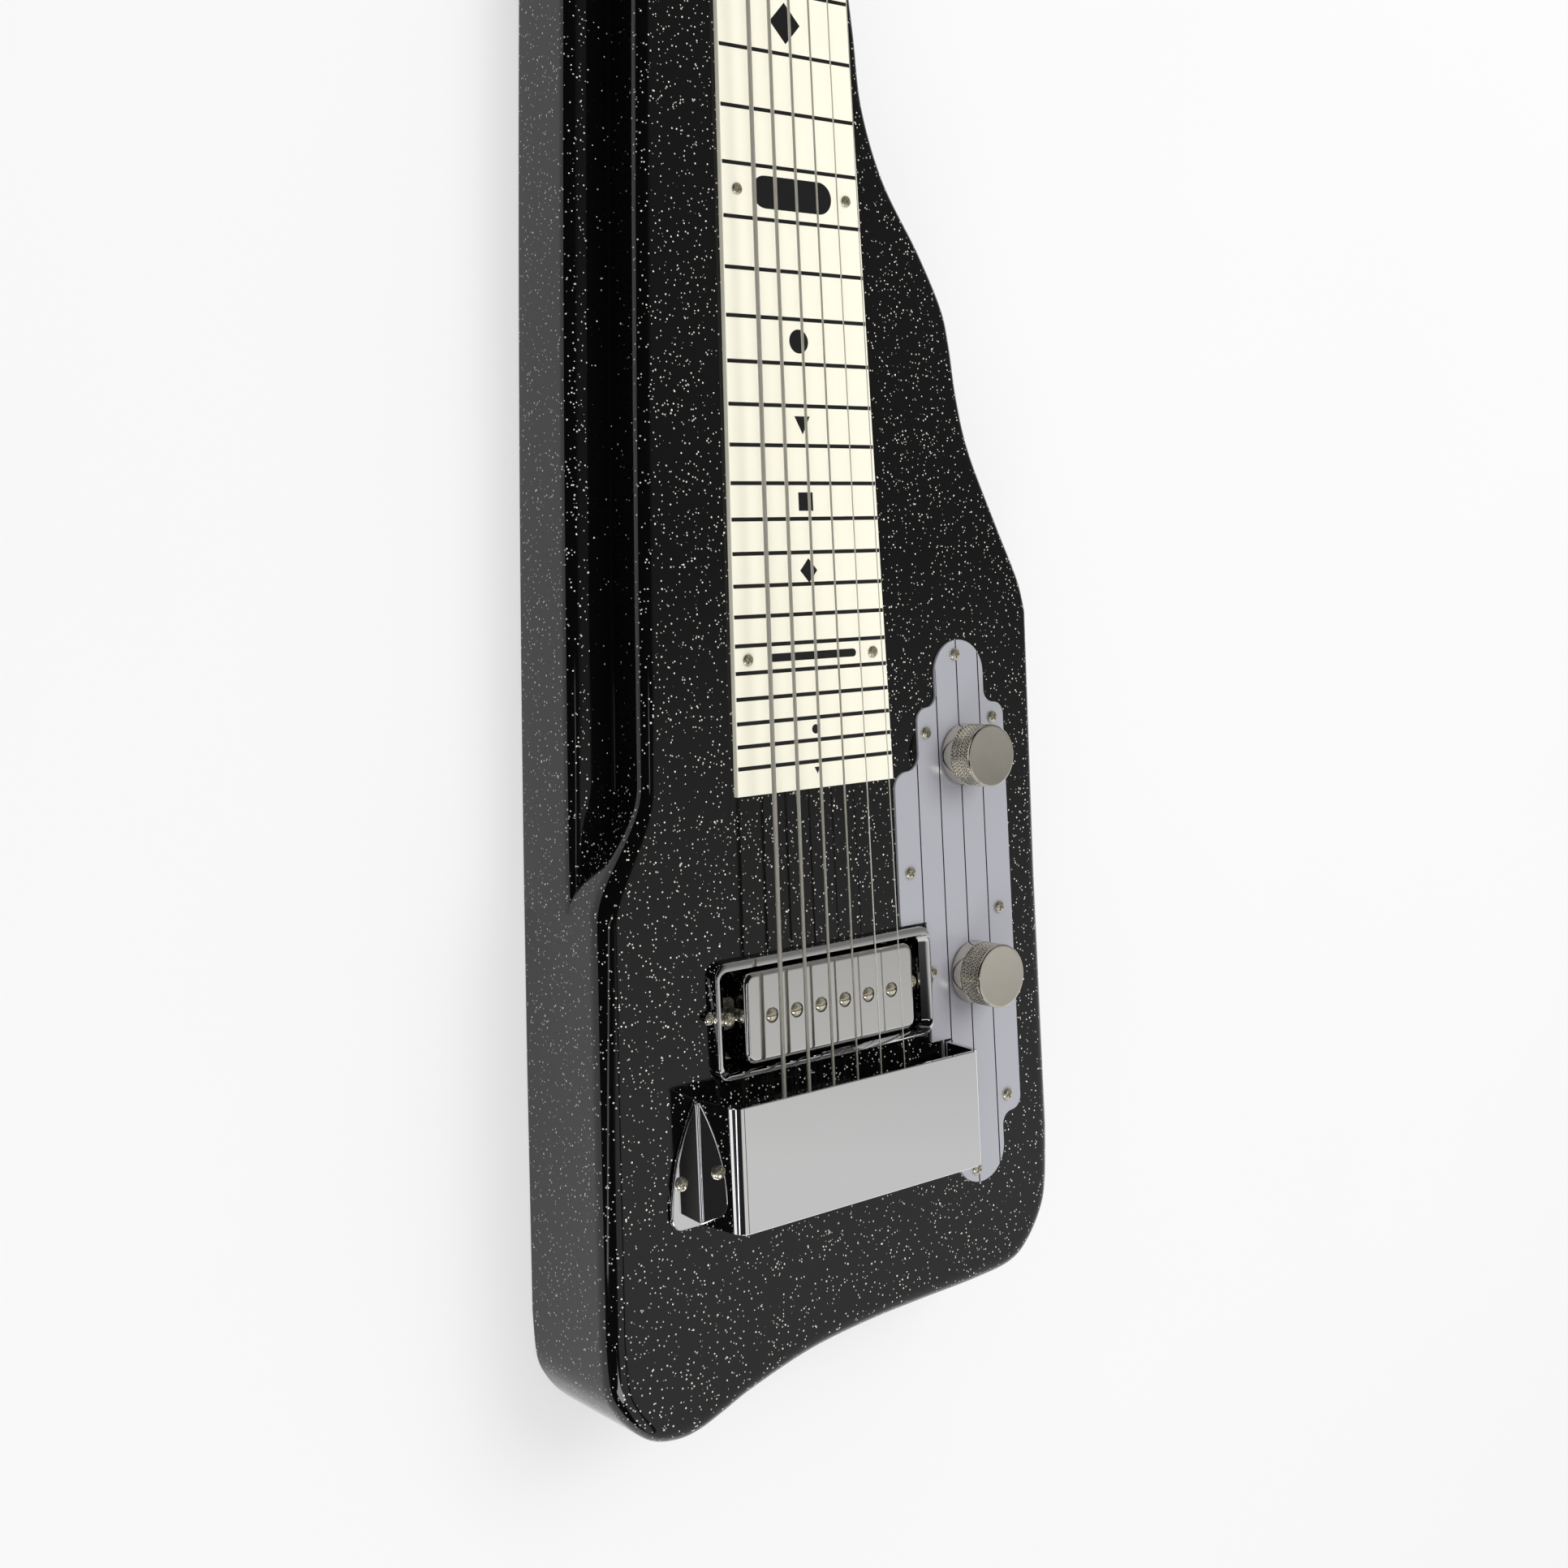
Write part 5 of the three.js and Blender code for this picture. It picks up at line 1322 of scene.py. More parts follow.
@dataclass
class Strings:
    """Six strings from their ball ends to the turns on their posts."""

    anchor_setback: float = 12.0
    anchor_thickness: float = 3.0
    anchor_height: float = 6.0
    ball_radius: float = 1.9
    wraps: float = 2.0
    steps_per_turn: int = 40
    wrap_gap: float = 0.45
    wound_from: float = 0.6
    reach: float = 2.95
    waist_top: float = 42.7
    barrel: Profile = ((0, -1.6), (1.5, -1.6), (1.9, -1.2), (1.4, 0), (1.9, 1.2), (1.5, 1.6), (0, 1.6))

    def path(self, string: int) -> Ring:
        """Centre line of a string, as the frame has it.

        Args:
            string: Its number, from the treble side.

        Returns:
            The points of the line.
        """
        gauge = LAYOUT.gauges[string - 1]
        radius = gauge / 2
        saddle = LAYOUT.y(LAYOUT.scale)
        x = LAYOUT.string_x(string, LAYOUT.saddle_spread)
        nut_x = LAYOUT.string_x(string, LAYOUT.nut_spread)
        level = LAYOUT.underside + radius
        nut_y = LAYOUT.scale / 2 + LAYOUT.nut_thickness
        hole = LAYOUT.body_top + self.anchor_height
        back = saddle - self.anchor_setback - self.anchor_thickness - LAYOUT.seat_gap - self.ball_radius
        path = [Vector((x, back, hole)), Vector((x, saddle - self.anchor_setback, hole)),
                Vector((x, saddle - 1.4, level - 0.25)), Vector((x, saddle, level)), Vector((nut_x, nut_y, level))]
        px, py = Tuners.places()[string]
        side = 1 if px > 0 else -1
        reach = self.reach + radius
        towards = Vector((px - nut_x, py - nut_y))
        heading = atan2(towards.y, towards.x) + side * asin(reach / towards.length)
        run = sqrt(towards.length_squared - reach * reach)
        first = atan2(nut_y + run * sin(heading) - py, nut_x + run * cos(heading) - px)
        for step in range(int(self.wraps * self.steps_per_turn) + 1):
            share = step / self.steps_per_turn
            angle = first - side * 2 * pi * share
            path.append(Vector((px + reach * cos(angle), py + reach * sin(angle),
                                self.waist_top - radius - (gauge + self.wrap_gap) * share)))
        return path

    def build(self) -> None:
        """Makes each string in place of its CAD node."""
        for string, gauge in enumerate(LAYOUT.gauges, 1):
            path = self.path(string)
            form = Form().sweep(path, gauge / 2, 14)
            form.turn(self.barrel, 24, sideways(*path[0]), slot=1)
            finish = WOUND if gauge > self.wound_from else PLAIN
            piece(f"string_wire_{string}", form, [finish, NICKEL], replaces=[f"string_{string}"])


@dataclass
class Pickup:
    """The covered pickup, its mounting ring and its screws."""

    length: float = 69.0
    width: float = 28.0
    rise: float = 4.7
    depth: float = 12.4
    corner: float = 3.4
    edge: float = 1.4
    wall: float = 0.8
    base: float = 1.4
    ears: Pair = (10.4, 10.0)
    bobbin_inset: float = 4.0
    pole_spread: float = 49.2
    pole_radius: float = 2.1
    pole_stand: float = 0.6
    pole_head: float = 1.3
    pole_gap: float = 0.35
    ring_length: float = 88.6
    ring_width: float = 36.2
    flange: float = 1.3
    rim: float = 3.1
    tail_fall: float = 0.27
    fixing_shift: float = 1.9
    spring_turns: float = 4.5
    spring_radius: float = 1.75
    spring_wire: float = 0.3

    @property
    def y(self) -> float:
        """The pickup's middle."""
        return LAYOUT.y(LAYOUT.pickup_from_nut)

    def poles(self) -> list[float]:
        """Sideways places of the six poles."""
        return [LAYOUT.string_x(string, self.pole_spread) for string in range(1, 7)]

    def cover(self) -> Cut:
        """The drawn cover with its six holes.

        Returns:
            The cover with its cuts.
        """
        top = LAYOUT.body_top + self.rise
        low = top - self.depth
        outer = Form().slab(rounded_box(self.length, self.width, self.corner, 0, self.y, 10), low, top, 0, self.edge, 8)
        inner = rounded_box(self.length - 2 * self.wall, self.width - 2 * self.wall, self.corner - self.wall, 0, self.y)
        tools = [Form().slab(inner, low - LAYOUT.overrun, top - self.wall, 0, self.edge - self.wall)]
        for x in self.poles():
            hole = Form().rod(self.pole_radius + self.pole_gap, top - 3, top + LAYOUT.overrun, 40, shift(x, self.y))
            tools.append(hole)
        return outer.cut(tools)

    def core(self) -> Form:
        """Base plate and bobbin under the cover, with domed and slotted poles.

        Returns:
            One form for all its parts.
        """
        top = LAYOUT.body_top + self.rise
        low = top - self.depth
        reach, wide = self.ears
        form = Form().slab(rounded_box(self.length, self.width, 1.0, 0, self.y), low - self.base, low - 0.05)
        form.slab(rounded_box(self.length + reach, wide, 2.0, 0, self.y), low - self.base + 0.05, low - 0.1)
        bobbin = rounded_box(self.length - self.bobbin_inset, self.width - self.bobbin_inset, 2.0, 0, self.y)
        form.slab(bobbin, low - self.base / 2, top - 1.1, slot=1)
        for x in self.poles():
            screw = Screw(self.pole_radius, self.pole_head, 1.0, Drive.SLOT, 0.0, 12, 96)
            form.merge(screw.form(shift(x, self.y, top + self.pole_stand - self.pole_head)), Matrix())
        return form

    def ring(self) -> Form:
        """The chrome ring: an upright outer wall, a rim that is widest at the neck end, and a fall into the well.

        Returns:
            The closed form.
        """
        base, top = LAYOUT.body_top, LAYOUT.body_top + self.rim
        inner_x, inner_y = LAYOUT.pickup_slot
        side, end = (self.ring_length - inner_x) / 2, (self.ring_width - inner_y) / 2
        flat = (1.3, 0.6, 2.7, 2.7)
        slope = (2.2, 2.18, end - 0.35, end - 0.35)
        foot = (side - 0.7, side - 0.1, end - 0.1, end - 0.1)
        opening = (side, side, end, end)
        section = [((0.0,) * 4, 4.6, base), ((0.0,) * 4, 4.6, top - 0.6), ((0.08,) * 4, 4.55, top - 0.33),
                   ((0.25,) * 4, 4.4, top - 0.1), ((0.5,) * 4, 4.2, top), (flat, 2.9, top), (slope, 2.4, top - 0.9),
                   (foot, 2.2, top - 1.95), (opening, 2.0, top - 2.5), (opening, 2.0, base - 0.9)]
        lean = self.y - self.ring_width / 2 + flat[3]
        rings = []
        for (west, east, north, south), radius, z in section:
            ring = rounded_box(self.ring_length - west - east, self.ring_width - north - south, radius,
                               (west - east) / 2, self.y + (south - north) / 2, 8)
            fall = self.tail_fall if z > base + 1 else 0.0
            rings.append([p + Vector((0, 0, z - fall * max(0.0, lean - p.y))) for p in ring])
        rings[-1] = [Vector((p.x, p.y, base)) for p in rings[-1]]
        return Form().loft(rings, loop=True)

    def tabs(self) -> Form:
        """A small ear at each end of the ring, for its fixing screw.

        Returns:
            One form for both ears.
        """
        form = Form()
        for side in Side:
            x = side.value * (self.ring_length / 2 + 1.2)
            top = LAYOUT.body_top + self.flange
            form.turn([(0, top - 1.3), (2.1, top - 1.3), (2.1, top - 0.25), (1.85, top - 0.02), (0, top - 0.02)],
                      40, shift(x, self.y + self.fixing_shift))
        return form

    def height_screw(self, x: float) -> Form:
        """A long screw with its head in the well and a spring under the head.

        Args:
            x: Its place across the pickup.

        Returns:
            The screw and its spring.
        """
        head = LAYOUT.body_top - 0.75
        ear = LAYOUT.body_top + self.rise - self.depth
        form = Screw(2.2, 1.5, 0.8, Drive.CROSS, 0.4).form(shift(x, self.y, head))
        form.turn([(0, 15.8), (1.2, 17.0), (1.2, head), (0, head)], 24, shift(x, self.y))
        steps = int(self.spring_turns * 24)
        path = []
        for i in range(steps + 1):
            angle = 2 * pi * self.spring_turns * i / steps
            path.append(Vector((x + self.spring_radius * cos(angle), self.y + self.spring_radius * sin(angle),
                                lerp(ear + 0.6, head - 0.35, i / steps))))
        return form.sweep(path, self.spring_wire, 8)

    def build(self) -> None:
        """Makes the cover, the core, the ring and the screws."""
        piece("pickup_shell", self.cover(), [COVER_CHROME], replaces=["pickup_cover"], sharp=35)
        piece("pickup_poles", self.core(), [POLES, SLATE], replaces=["pickup_core"], sharp=35)
        piece("pickup_frame", self.ring(), [CHROME], replaces=["pickup_ring"], sharp=35)
        piece("pickup_frame_tabs", self.tabs(), [CHROME])
        reach = self.length / 2 + 3.1
        for number, x in enumerate((-reach, reach), 1):
            piece(f"height_screw_{number}_sprung", self.height_screw(x), [HEADS], replaces=[f"height_screw_{number}"])
        end, y = self.ring_length / 2 + 1.75, self.y + self.fixing_shift
        screws("pickup_frame_screws", [(s.value * end, y, LAYOUT.body_top + self.flange - 0.02) for s in Side],
               Screw(radius=1.65, height=1.1))


@dataclass
class Bridge:
    """The bridge and the bent hand rest that covers it."""

    rest_top: float = 63.1
    bend: float = 4.2
    ear_thickness: float = 1.5
    fillet: float = 0.9
    spread: float = 1.6
    ear_width: float = 10.9
    ear_corner: float = 4.0
    ear_tip: Pair = (0.14, 0.9)
    ear_lap: float = 0.7
    ear_edge: float = 0.8
    block: Triple = (17.0, 6.0, 31.0)
    block_thickness: float = 3.0
    saddle_radius: float = 2.4
    anchor: Triple = (12.0, 15.0, 6.0)
    string_hole: Triple = (1.25, 13.5, 6.0)
    inner_level: int = 4
    fixing: Pair = (59.3, 579.5)

    def ear(self, grow: float = 0.0) -> Ring:
        """Outline of the treble ear, anticlockwise, seen from above: pointed in front and broad at the tail.

        Args:
            grow: Clearance that is added all round.

        Returns:
            The points of the outline.
        """
        front = LAYOUT.y(LAYOUT.rest_from_nut)
        back = front - LAYOUT.rest_length
        wall, width, nose = LAYOUT.rest_width / 2 + self.spread, self.ear_width, self.ear_corner
        inner = wall - LAYOUT.rest_wall - grow
        tip, tip_radius = self.ear_tip
        points = [plan(inner, front + grow), plan(inner, back - grow)]
        points += arc(wall + width - nose, back + nose, nose + grow, -90, 90, 10)
        for i in range(1, 29):
            share = i / 28
            points.append(plan(wall + width * (1 - (1 - tip) * share**2) + grow,
                               back + nose + (LAYOUT.rest_length - nose - tip_radius) * share))
        points += arc(wall + width * tip - tip_radius, front - tip_radius, tip_radius + grow, 0, 90, 6)[1:]
        return points

    def rest(self) -> Form:
        """The bent sheet, drawn along the strings with eased edges.

        Returns:
            The closed form.
        """
        front = LAYOUT.y(LAYOUT.rest_from_nut)
        half, wall = LAYOUT.rest_width / 2, LAYOUT.rest_wall

        def arch(inset: float) -> Ring:
            """The arch at a depth into the sheet, in X and Z, from the treble foot to the bass foot.

            Args:
                inset: Depth below the outer face.

            Returns:
                The points of the arch.
            """
            bend = self.bend - inset
            x, z = half - inset - bend, self.rest_top - inset - bend
            foot = half - inset + self.spread
            right = [plan(foot, LAYOUT.body_top)] + arc(x, z, bend, 0, 90, 14)
            left = arc(-x, z, bend, 90, 90, 14) + [plan(-foot, LAYOUT.body_top)]
            return right + left

        rings = []
        ease = 0.25
        back = front - LAYOUT.rest_length
        for inset, y in ((0, back + ease), (ease, back), (wall - ease, back), (wall, back + ease),
                         (wall, front - ease), (wall - ease, front), (ease, front), (0, front - ease)):
            rings.append([Vector((p.x, y, p.y)) for p in arch(inset)])
        count = len(rings[0])
        form = Form(points=[p for ring in rings for p in ring])
        for level in range(len(rings)):
            low, high = level * count, (level + 1) % len(rings) * count
            # The inner face takes the dark underside finish: painted shade inside the arch.
            inner = int(level == self.inner_level)
            form.faces += [((low + i, low + i + 1, high + i + 1, high + i), inner) for i in range(count - 1)]
        form.faces += [(tuple(level * count + end for level in range(len(rings))), 0) for end in (0, count - 1)]
        return form

    def ears(self) -> Form:
        """A flat foot outside each wall.

        Returns:
            One form for both feet and their fillets.
        """
        form = Form()
        low = LAYOUT.body_top
        outline = [p + plan(self.ear_lap, 0) if p.x < LAYOUT.rest_width / 2 - 1 else p for p in self.ear()]
        mirrored = [plan(-p.x, p.y) for p in reversed(outline)]
        for ear in (outline, mirrored):
            form.slab(ear, low, low + self.ear_thickness, 0, self.ear_edge, 6)
        front, top = LAYOUT.y(LAYOUT.rest_from_nut), low + self.ear_thickness
        wall = LAYOUT.rest_width / 2 + self.spread * 0.9
        curve = arc(wall + self.fillet, top + self.fillet, self.fillet, 180, 90, 8)
        section = [plan(wall - 0.3, top + self.fillet), *curve, plan(wall + self.fillet, top - 0.3),
                   plan(wall - 0.3, top - 0.3)]
        for side in Side:
            form.loft([[Vector((side.value * p.x, y, p.y)) for p in section]
                       for y in (front - 1.0, front - LAYOUT.rest_length + 1.0)])
        return form

    def saddle(self) -> Cut:
        """The plate, the saddle bar and the drilled anchor under the hand rest.

        Returns:
            The block with its holes.
        """
        saddle = LAYOUT.y(LAYOUT.scale)
        low, base, top = LAYOUT.body_top, LAYOUT.body_top + self.block_thickness, LAYOUT.underside - LAYOUT.seat_gap
        tail, head, half = self.block
        radius, (near, far, rise) = self.saddle_radius, self.anchor
        section = [(saddle - tail, low), (saddle + head, low), (saddle + head, base), (saddle + radius, base)]
        section += [(p.x, p.y) for p in arc(saddle, top - radius, radius, 0, 180, 16)]
        section += [(saddle - radius, base), (saddle - near, base), (saddle - near, base + rise),
                    (saddle - far, base + rise), (saddle - far, base), (saddle - tail, base)]
        rings = [[Vector((x, y, z)) for y, z in section] for x in (-half, half)]
        bore, setback, height = self.string_hole
        tools = []
        for string in range(1, 7):
            hole = shift(LAYOUT.string_x(string, LAYOUT.saddle_spread), saddle - setback, low + height)
            tools.append(Form().rod(bore, -4, 4, 24, hole @ Matrix.Rotation(pi / 2, 4, "X")))
        return Form().loft(rings).cut(tools)

    def build(self) -> None:
        """Makes the bridge, the hand rest and its screws."""
        piece("hand_rest", self.rest(), [CHROME, SHADED_UNDERSIDE], replaces=["bridge_cover"], sharp=40)
        piece("hand_rest_ears", self.ears(), [CHROME])
        piece("bridge_block", self.saddle(), [CHROME], replaces=["bridge"])
        x, from_nut = self.fixing
        top = LAYOUT.body_top + self.ear_thickness
        screws("hand_rest_screws", [(s.value * x, LAYOUT.y(from_nut), top - 0.03) for s in Side],
               Screw(radius=2.1, height=1.5))


@dataclass
class ControlPlate:
    """The scalloped plate that closes the control pockets."""

    tongue: float = 11.2
    half: float = 20.0
    ends: Pair = (422.5, 606.0)
    upper: Pair = (440.2, 449.0)
    lower: Pair = (580.5, 589.3)
    flank: Pair = (459.5, 470.8)
    flank_x: float = 33.3
    bore: float = 5.05
    tab_notch: Pair = (42.65, 3.8)
    ring_half: float = 18.1
    gap: float = 0.5
    fixings: Pairs = (
        (62.7, 427.4), (78.9, 449.7), (48.0, 452.9), (38.3, 498.6), (78.2, 514.9), (78.0, 579.0), (62.3, 601.1))

    def reach(self, distance: float) -> float:
        """Half width of the plate at a distance from the nut, with a step of two quarter arcs at each tongue.

        Args:
            distance: Place from the nut.

        Returns:
            The half width there.
        """

        def step(low: float, high: float) -> float:
            """The share of a step that is done, along its arcs.

            Args:
                low: Where the step starts.
                high: Where it ends.

            Returns:
                From 0 to 1.
            """
            share = min(max((distance - low) / (high - low), 0.0), 1.0) * 2
            if share < 1:
                return 0.5 - sqrt(1 - share**2) / 2
            return 0.5 + sqrt(1 - (2 - share)**2) / 2

        return lerp(self.tongue, self.half, step(*self.upper) - step(*self.lower))

    def outline(self) -> Ring:
        """Outline of the plate, anticlockwise.

        Returns:
            The points of the outline.
        """
        x = LAYOUT.controls_x
        top, bottom = self.ends

        def stops(span: Pair) -> list[float]:
            """Even stops over a span of distances."""
            return [lerp(*span, (1 - cos(pi * i / 12)) / 4 + half) for half in (0.0, 0.5) for i in range(13)]

        points = arc(x, LAYOUT.y(top + self.tongue), self.tongue, 0, 180, 32)
        points += [plan(x - self.reach(d), LAYOUT.y(d)) for d in stops(self.upper)]
        bend = (self.flank[1] - self.flank[0]) / 2
        corner = x - self.half - bend
        points += arc(corner, LAYOUT.y(self.flank[0]), bend, 0, -90, 12)
        points += arc(corner, LAYOUT.y(self.flank[1]), bend, 90, 90, 12)
        notch = LAYOUT.y(LAYOUT.pickup_from_nut - self.ring_half - self.gap)
        points += [plan(self.flank_x, notch), plan(x - self.half, notch)]
        points += [plan(x - self.reach(d), LAYOUT.y(d)) for d in stops(self.lower)]
        points += arc(x, LAYOUT.y(bottom - self.tongue), self.tongue, 180, 180, 32)
        for span in (self.lower, self.upper):
            points += [plan(x + self.reach(d), LAYOUT.y(d)) for d in reversed(stops(span))]
        return distinct(points)

    def form(self) -> Cut:
        """The plate, cut away round the hand rest's foot and the pickup ring.

        Returns:
            The plate with its cuts.
        """
        low, high = LAYOUT.body_top, LAYOUT.plate_top
        front = LAYOUT.y(LAYOUT.rest_from_nut)
        wall = LAYOUT.rest_width / 2 - LAYOUT.rest_wall - self.gap
        below, above = low - LAYOUT.overrun, high + LAYOUT.overrun
        x, radius = self.tab_notch
        tools = [Form().slab(Bridge().ear(self.gap), below, above),
                 Form().box((0, front - LAYOUT.rest_length - 2, below), (wall + 1.2, front + self.gap, above)),
                 Form().rod(radius, below, above, 40, shift(x, LAYOUT.y(LAYOUT.pickup_from_nut)))]
        for distance in (LAYOUT.volume_from_nut, LAYOUT.tone_from_nut):
            tools.append(Form().rod(self.bore, below, above, 40, shift(LAYOUT.controls_x, LAYOUT.y(distance))))
        return Form().slab(self.outline(), low, high, 0, 0.3, 3).cut(tools)

    def build(self) -> None:
        """Makes the plate and its screws."""
        piece("striped_plate", self.form(), [PLATE], replaces=["control_plate"], sharp=40)
        places = [(x, LAYOUT.y(d), LAYOUT.plate_top) for x, d in self.fixings]
        screws("plate_screws", places, Screw(radius=2.15, height=1.2))


@dataclass
class Knob:
    """A metal knob with a smooth skirt, a knurled band and a flat top left bare."""

    name: str
    from_nut: float
    radius: float = 10.5
    height: float = 13.0
    lift: float = 0.9
    skirt: float = 4.4
    band: float = 6.9
    teeth: int = 56
    cut: float = 0.44
    sides: int = 392
    rows: int = 44

    def knurl(self, angle: float, height: float) -> float:
        """Depth of the crossed grooves at a place on the band.

        Args:
            angle: Angle round the knob.
            height: Height above the band's start.

        Returns:
            The depth below the band's crests.
        """
        slope = self.teeth / (2 * pi * self.radius) * 0.62
        along = self.teeth * angle / (2 * pi)
        depths = []
        for sign in (1, -1):
            share = (along + sign * slope * height) % 1.0
            depths.append(1 - abs(2 * share - 1))
        return self.cut * (1 - min(1.0, 1.5 * min(depths)))

    def form(self) -> Form:
        """The knob as one skin from its bore to its top.

        Returns:
            The closed form.
        """
        low = LAYOUT.plate_top + self.lift
        top = low + self.height
        r = self.radius
        plain = [(3.3, top - 2), (3.3, low + 4), (8.0, low + 4), (8.0, low + 0.3), (8.3, low), (r - 0.35, low),
                 (r - 0.1, low + 0.1), (r, low + 0.35), (r, low + self.skirt - 0.25), (r - 0.12, low + self.skirt)]
        start = low + self.skirt + 0.12
        band = [(None, start + self.band * i / self.rows) for i in range(self.rows + 1)]
        end = start + self.band
        cap = [(r - 0.55, end + 0.08), (r - 0.6, end + 0.3), (r - 0.5, end + 0.5), (r - 0.08, end + 0.6),
               (r - 0.02, end + 0.75), (r - 0.02, top - 0.5), (r - 0.12, top - 0.2), (r - 0.35, top - 0.04),
               (r - 0.6, top), (r - 0.9, top - 0.02)]
        x, y = LAYOUT.controls_x, LAYOUT.y(self.from_nut)
        rings = []
        for radius, z in [*plain, *band, *cap]:
            ring = []
            for angle in spokes(self.sides):
                reach = r - self.knurl(angle, z - start) if radius is None else radius
                ring.append(Vector((x + reach * cos(angle), y + reach * sin(angle), z)))
            rings.append(ring)
        return Form().loft(rings, cap_slot=1)

    def build(self) -> None:
        """Makes the knob in place of its CAD node."""
        piece(f"{self.name}_knurled", self.form(), [NICKEL, KNOB_TOP], f"{self.name}_control",
              replaces=[f"{self.name}_knob"], sharp=24)


@dataclass
class Controls:
    """The plate, the two knobs and what is under them."""

    def build(self) -> None:
        """Makes the plate and knobs and dresses the hidden pieces."""
        ControlPlate().build()
        for name, distance in (("volume", LAYOUT.volume_from_nut), ("tone", LAYOUT.tone_from_nut)):
            Knob(name, distance).build()
            for node in ("pot", "shaft"):
                dress(f"{name}_{node}", STEEL)
            dress(f"{name}_pot_nut", NICKEL)
        dress("tone_capacitor", BROWN)
        dress("output_jack", NICKEL)
        dress("jack_nut", NICKEL)


@dataclass
class Tuners:
    """Open geared tuners, three on a strip on each side."""

    row: float = 27.0
    face: float = 32.5
    back: float = 15.5
    strip: float = 1.2
    strip_width: float = 18.9
    strip_length: float = 106.0
    bearings: Pair = (6.3, 9.0)
    bearing: Pair = (1.6, 7.0)
    teeth: int = 14
    pitch_radius: float = 5.25
    root: float = 4.4
    tip: float = 5.75
    tooth: Pair = (1.1, 0.4)
    gear: float = 3.0
    core: float = 1.4
    crest: float = 2.75
    worm_radius: float = 2.25
    lead: float = 0.75 * pi
    turns: float = 3.0
    post: float = 3.0
    waist: float = 2.6
    rise: float = 13.5
    string_hole: float = 0.85
    hole_height: float = 6.5
    first_post: float = 40.0
    post_pitch: float = 38.0
    collar: float = 4.2
    flattening: float = 0.88
    gap: float = 0.1
    shaft_ends: Pair = (7.3, 31.0)
    thread_shares: tuple[float, ...] = (-0.14, -0.05, 0.05, 0.14, 0.2, 0.26, 0.31, 0.4, 0.5, 0.6, 0.69, 0.74, 0.8)
    plate_screws: tuple[float, ...] = (-6.0, 23.0, 61.0, 90.0)
    button: Triple = (14.0, 8.0, 4.2)
    button_start: float = 23.0

    @property
    def worm_z(self) -> float:
        """Height of the worm shafts."""
        return self.back - self.strip - 0.4 - self.crest

    @property
    def offset(self) -> float:
        """Distance along Y from a post to its worm."""
        return self.pitch_radius + self.worm_radius

    @staticmethod
    def places() -> dict[int, Pair]:
        """The middle of each string's post.

        Returns:
            The place of each post, by the number of its string.
        """
        found = {}
        for i in range(3):
            y = LAYOUT.scale / 2 + Tuners.first_post + Tuners.post_pitch * i
            found[i + 1] = (Tuners.row, y)
            found[6 - i] = (-Tuners.row, y)
        return found

    def wheel(self) -> Form:
        """The gear, with leaning teeth and a gap towards +Y where the thread passes.

        Returns:
            The closed form, about the origin.
        """
        lean = self.lead / (2 * pi * self.worm_radius * self.pitch_radius)
        foot, tip = self.tooth[0] / 2 / self.root, self.tooth[1] / 2 / self.tip
        rings = []
        for z in (-self.gear / 2, -self.gear / 2 + 0.2, self.gear / 2 - 0.2, self.gear / 2):
            ease = 0.15 if abs(z) == self.gear / 2 else 0.0
            ring = []
            for tooth in range(self.teeth):
                middle = pi / 2 + (tooth + 0.5) * 2 * pi / self.teeth + lean * z
                gap = pi / self.teeth
                for angle, radius in ((-gap, self.root - 0.1), (-foot, self.root), (-tip, self.tip - ease),
                                      (tip, self.tip - ease), (foot, self.root)):
                    ring.append(Vector((radius * cos(middle + angle), radius * sin(middle + angle),
                                        self.worm_z + z)))
            rings.append(ring)
        return Form().loft(rings)

    def stem(self) -> Cut:
        """The post with its waist, its collar and a hole for the string.

        Returns:
            The post with its hole, about the origin.
        """
        low, high, top = self.worm_z - 1.4, self.worm_z + self.gear / 2, self.face + self.rise
        collar, post, waist = self.collar, self.post, self.waist
        profile = [(0, low), (post, low), (post, high - 0.2), (collar - 0.2, high - 0.2), (collar, high),
                   (collar, self.back - self.strip - 0.1), (post, self.back - self.strip - 0.1),
                   (post, self.face + 2.3), (post - 0.1, self.face + 2.65), (waist, self.face + 3.1),
                   (waist, self.face + 10.2), (post - 0.1, self.face + 10.55), (post, self.face + 10.9),
                   (post, top - 0.9), (post - 0.25, top - 0.35), (post - 0.7, top - 0.08), (post - 1.2, top), (0, top)]
        hole = Form().rod(self.string_hole, -5, 5, 20, sideways(0, 0, self.face + self.hole_height))
        return Form().turn(profile, 48).cut([hole])

    def worm(self, x: float, y: float, side: int) -> Form:
        """A shaft with one thread wound round it.

        Args:
            x: The post's place along X.
            y: The post's place along Y.
            side: Sign of the side that the button is on.

        Returns:
            The closed form.
        """
        half, steps = self.turns * self.lead / 2, int(self.turns * 24)
        inner, outer = self.shaft_ends
        start, end = (-inner, outer) if side > 0 else (-outer, inner)

        def ring(place: float, twist: float, threaded: bool) -> Ring:
            """One ring of the shaft, whose corners follow the thread.

            Args:
                place: Place along the shaft.
                twist: Turn of the thread there.
                threaded: Whether the thread stands out.

            Returns:
                The points of the ring.
            """
            points = []
            for share in self.thread_shares:
                apart = min(share % 1.0, 1 - share % 1.0)
                rise = min(max((0.31 - apart) / 0.17, 0.0), 1.0) if threaded else 0.0
                radius, angle = lerp(self.core, self.crest, rise), 2 * pi * share + twist
                points.append(Vector((x + place, y + self.offset + radius * cos(angle),
                                      self.worm_z + radius * sin(angle))))
            return points

        def twist(place: float) -> float:
            """Turn of the thread at a place along the shaft."""
            return pi + 2 * pi * place / self.lead

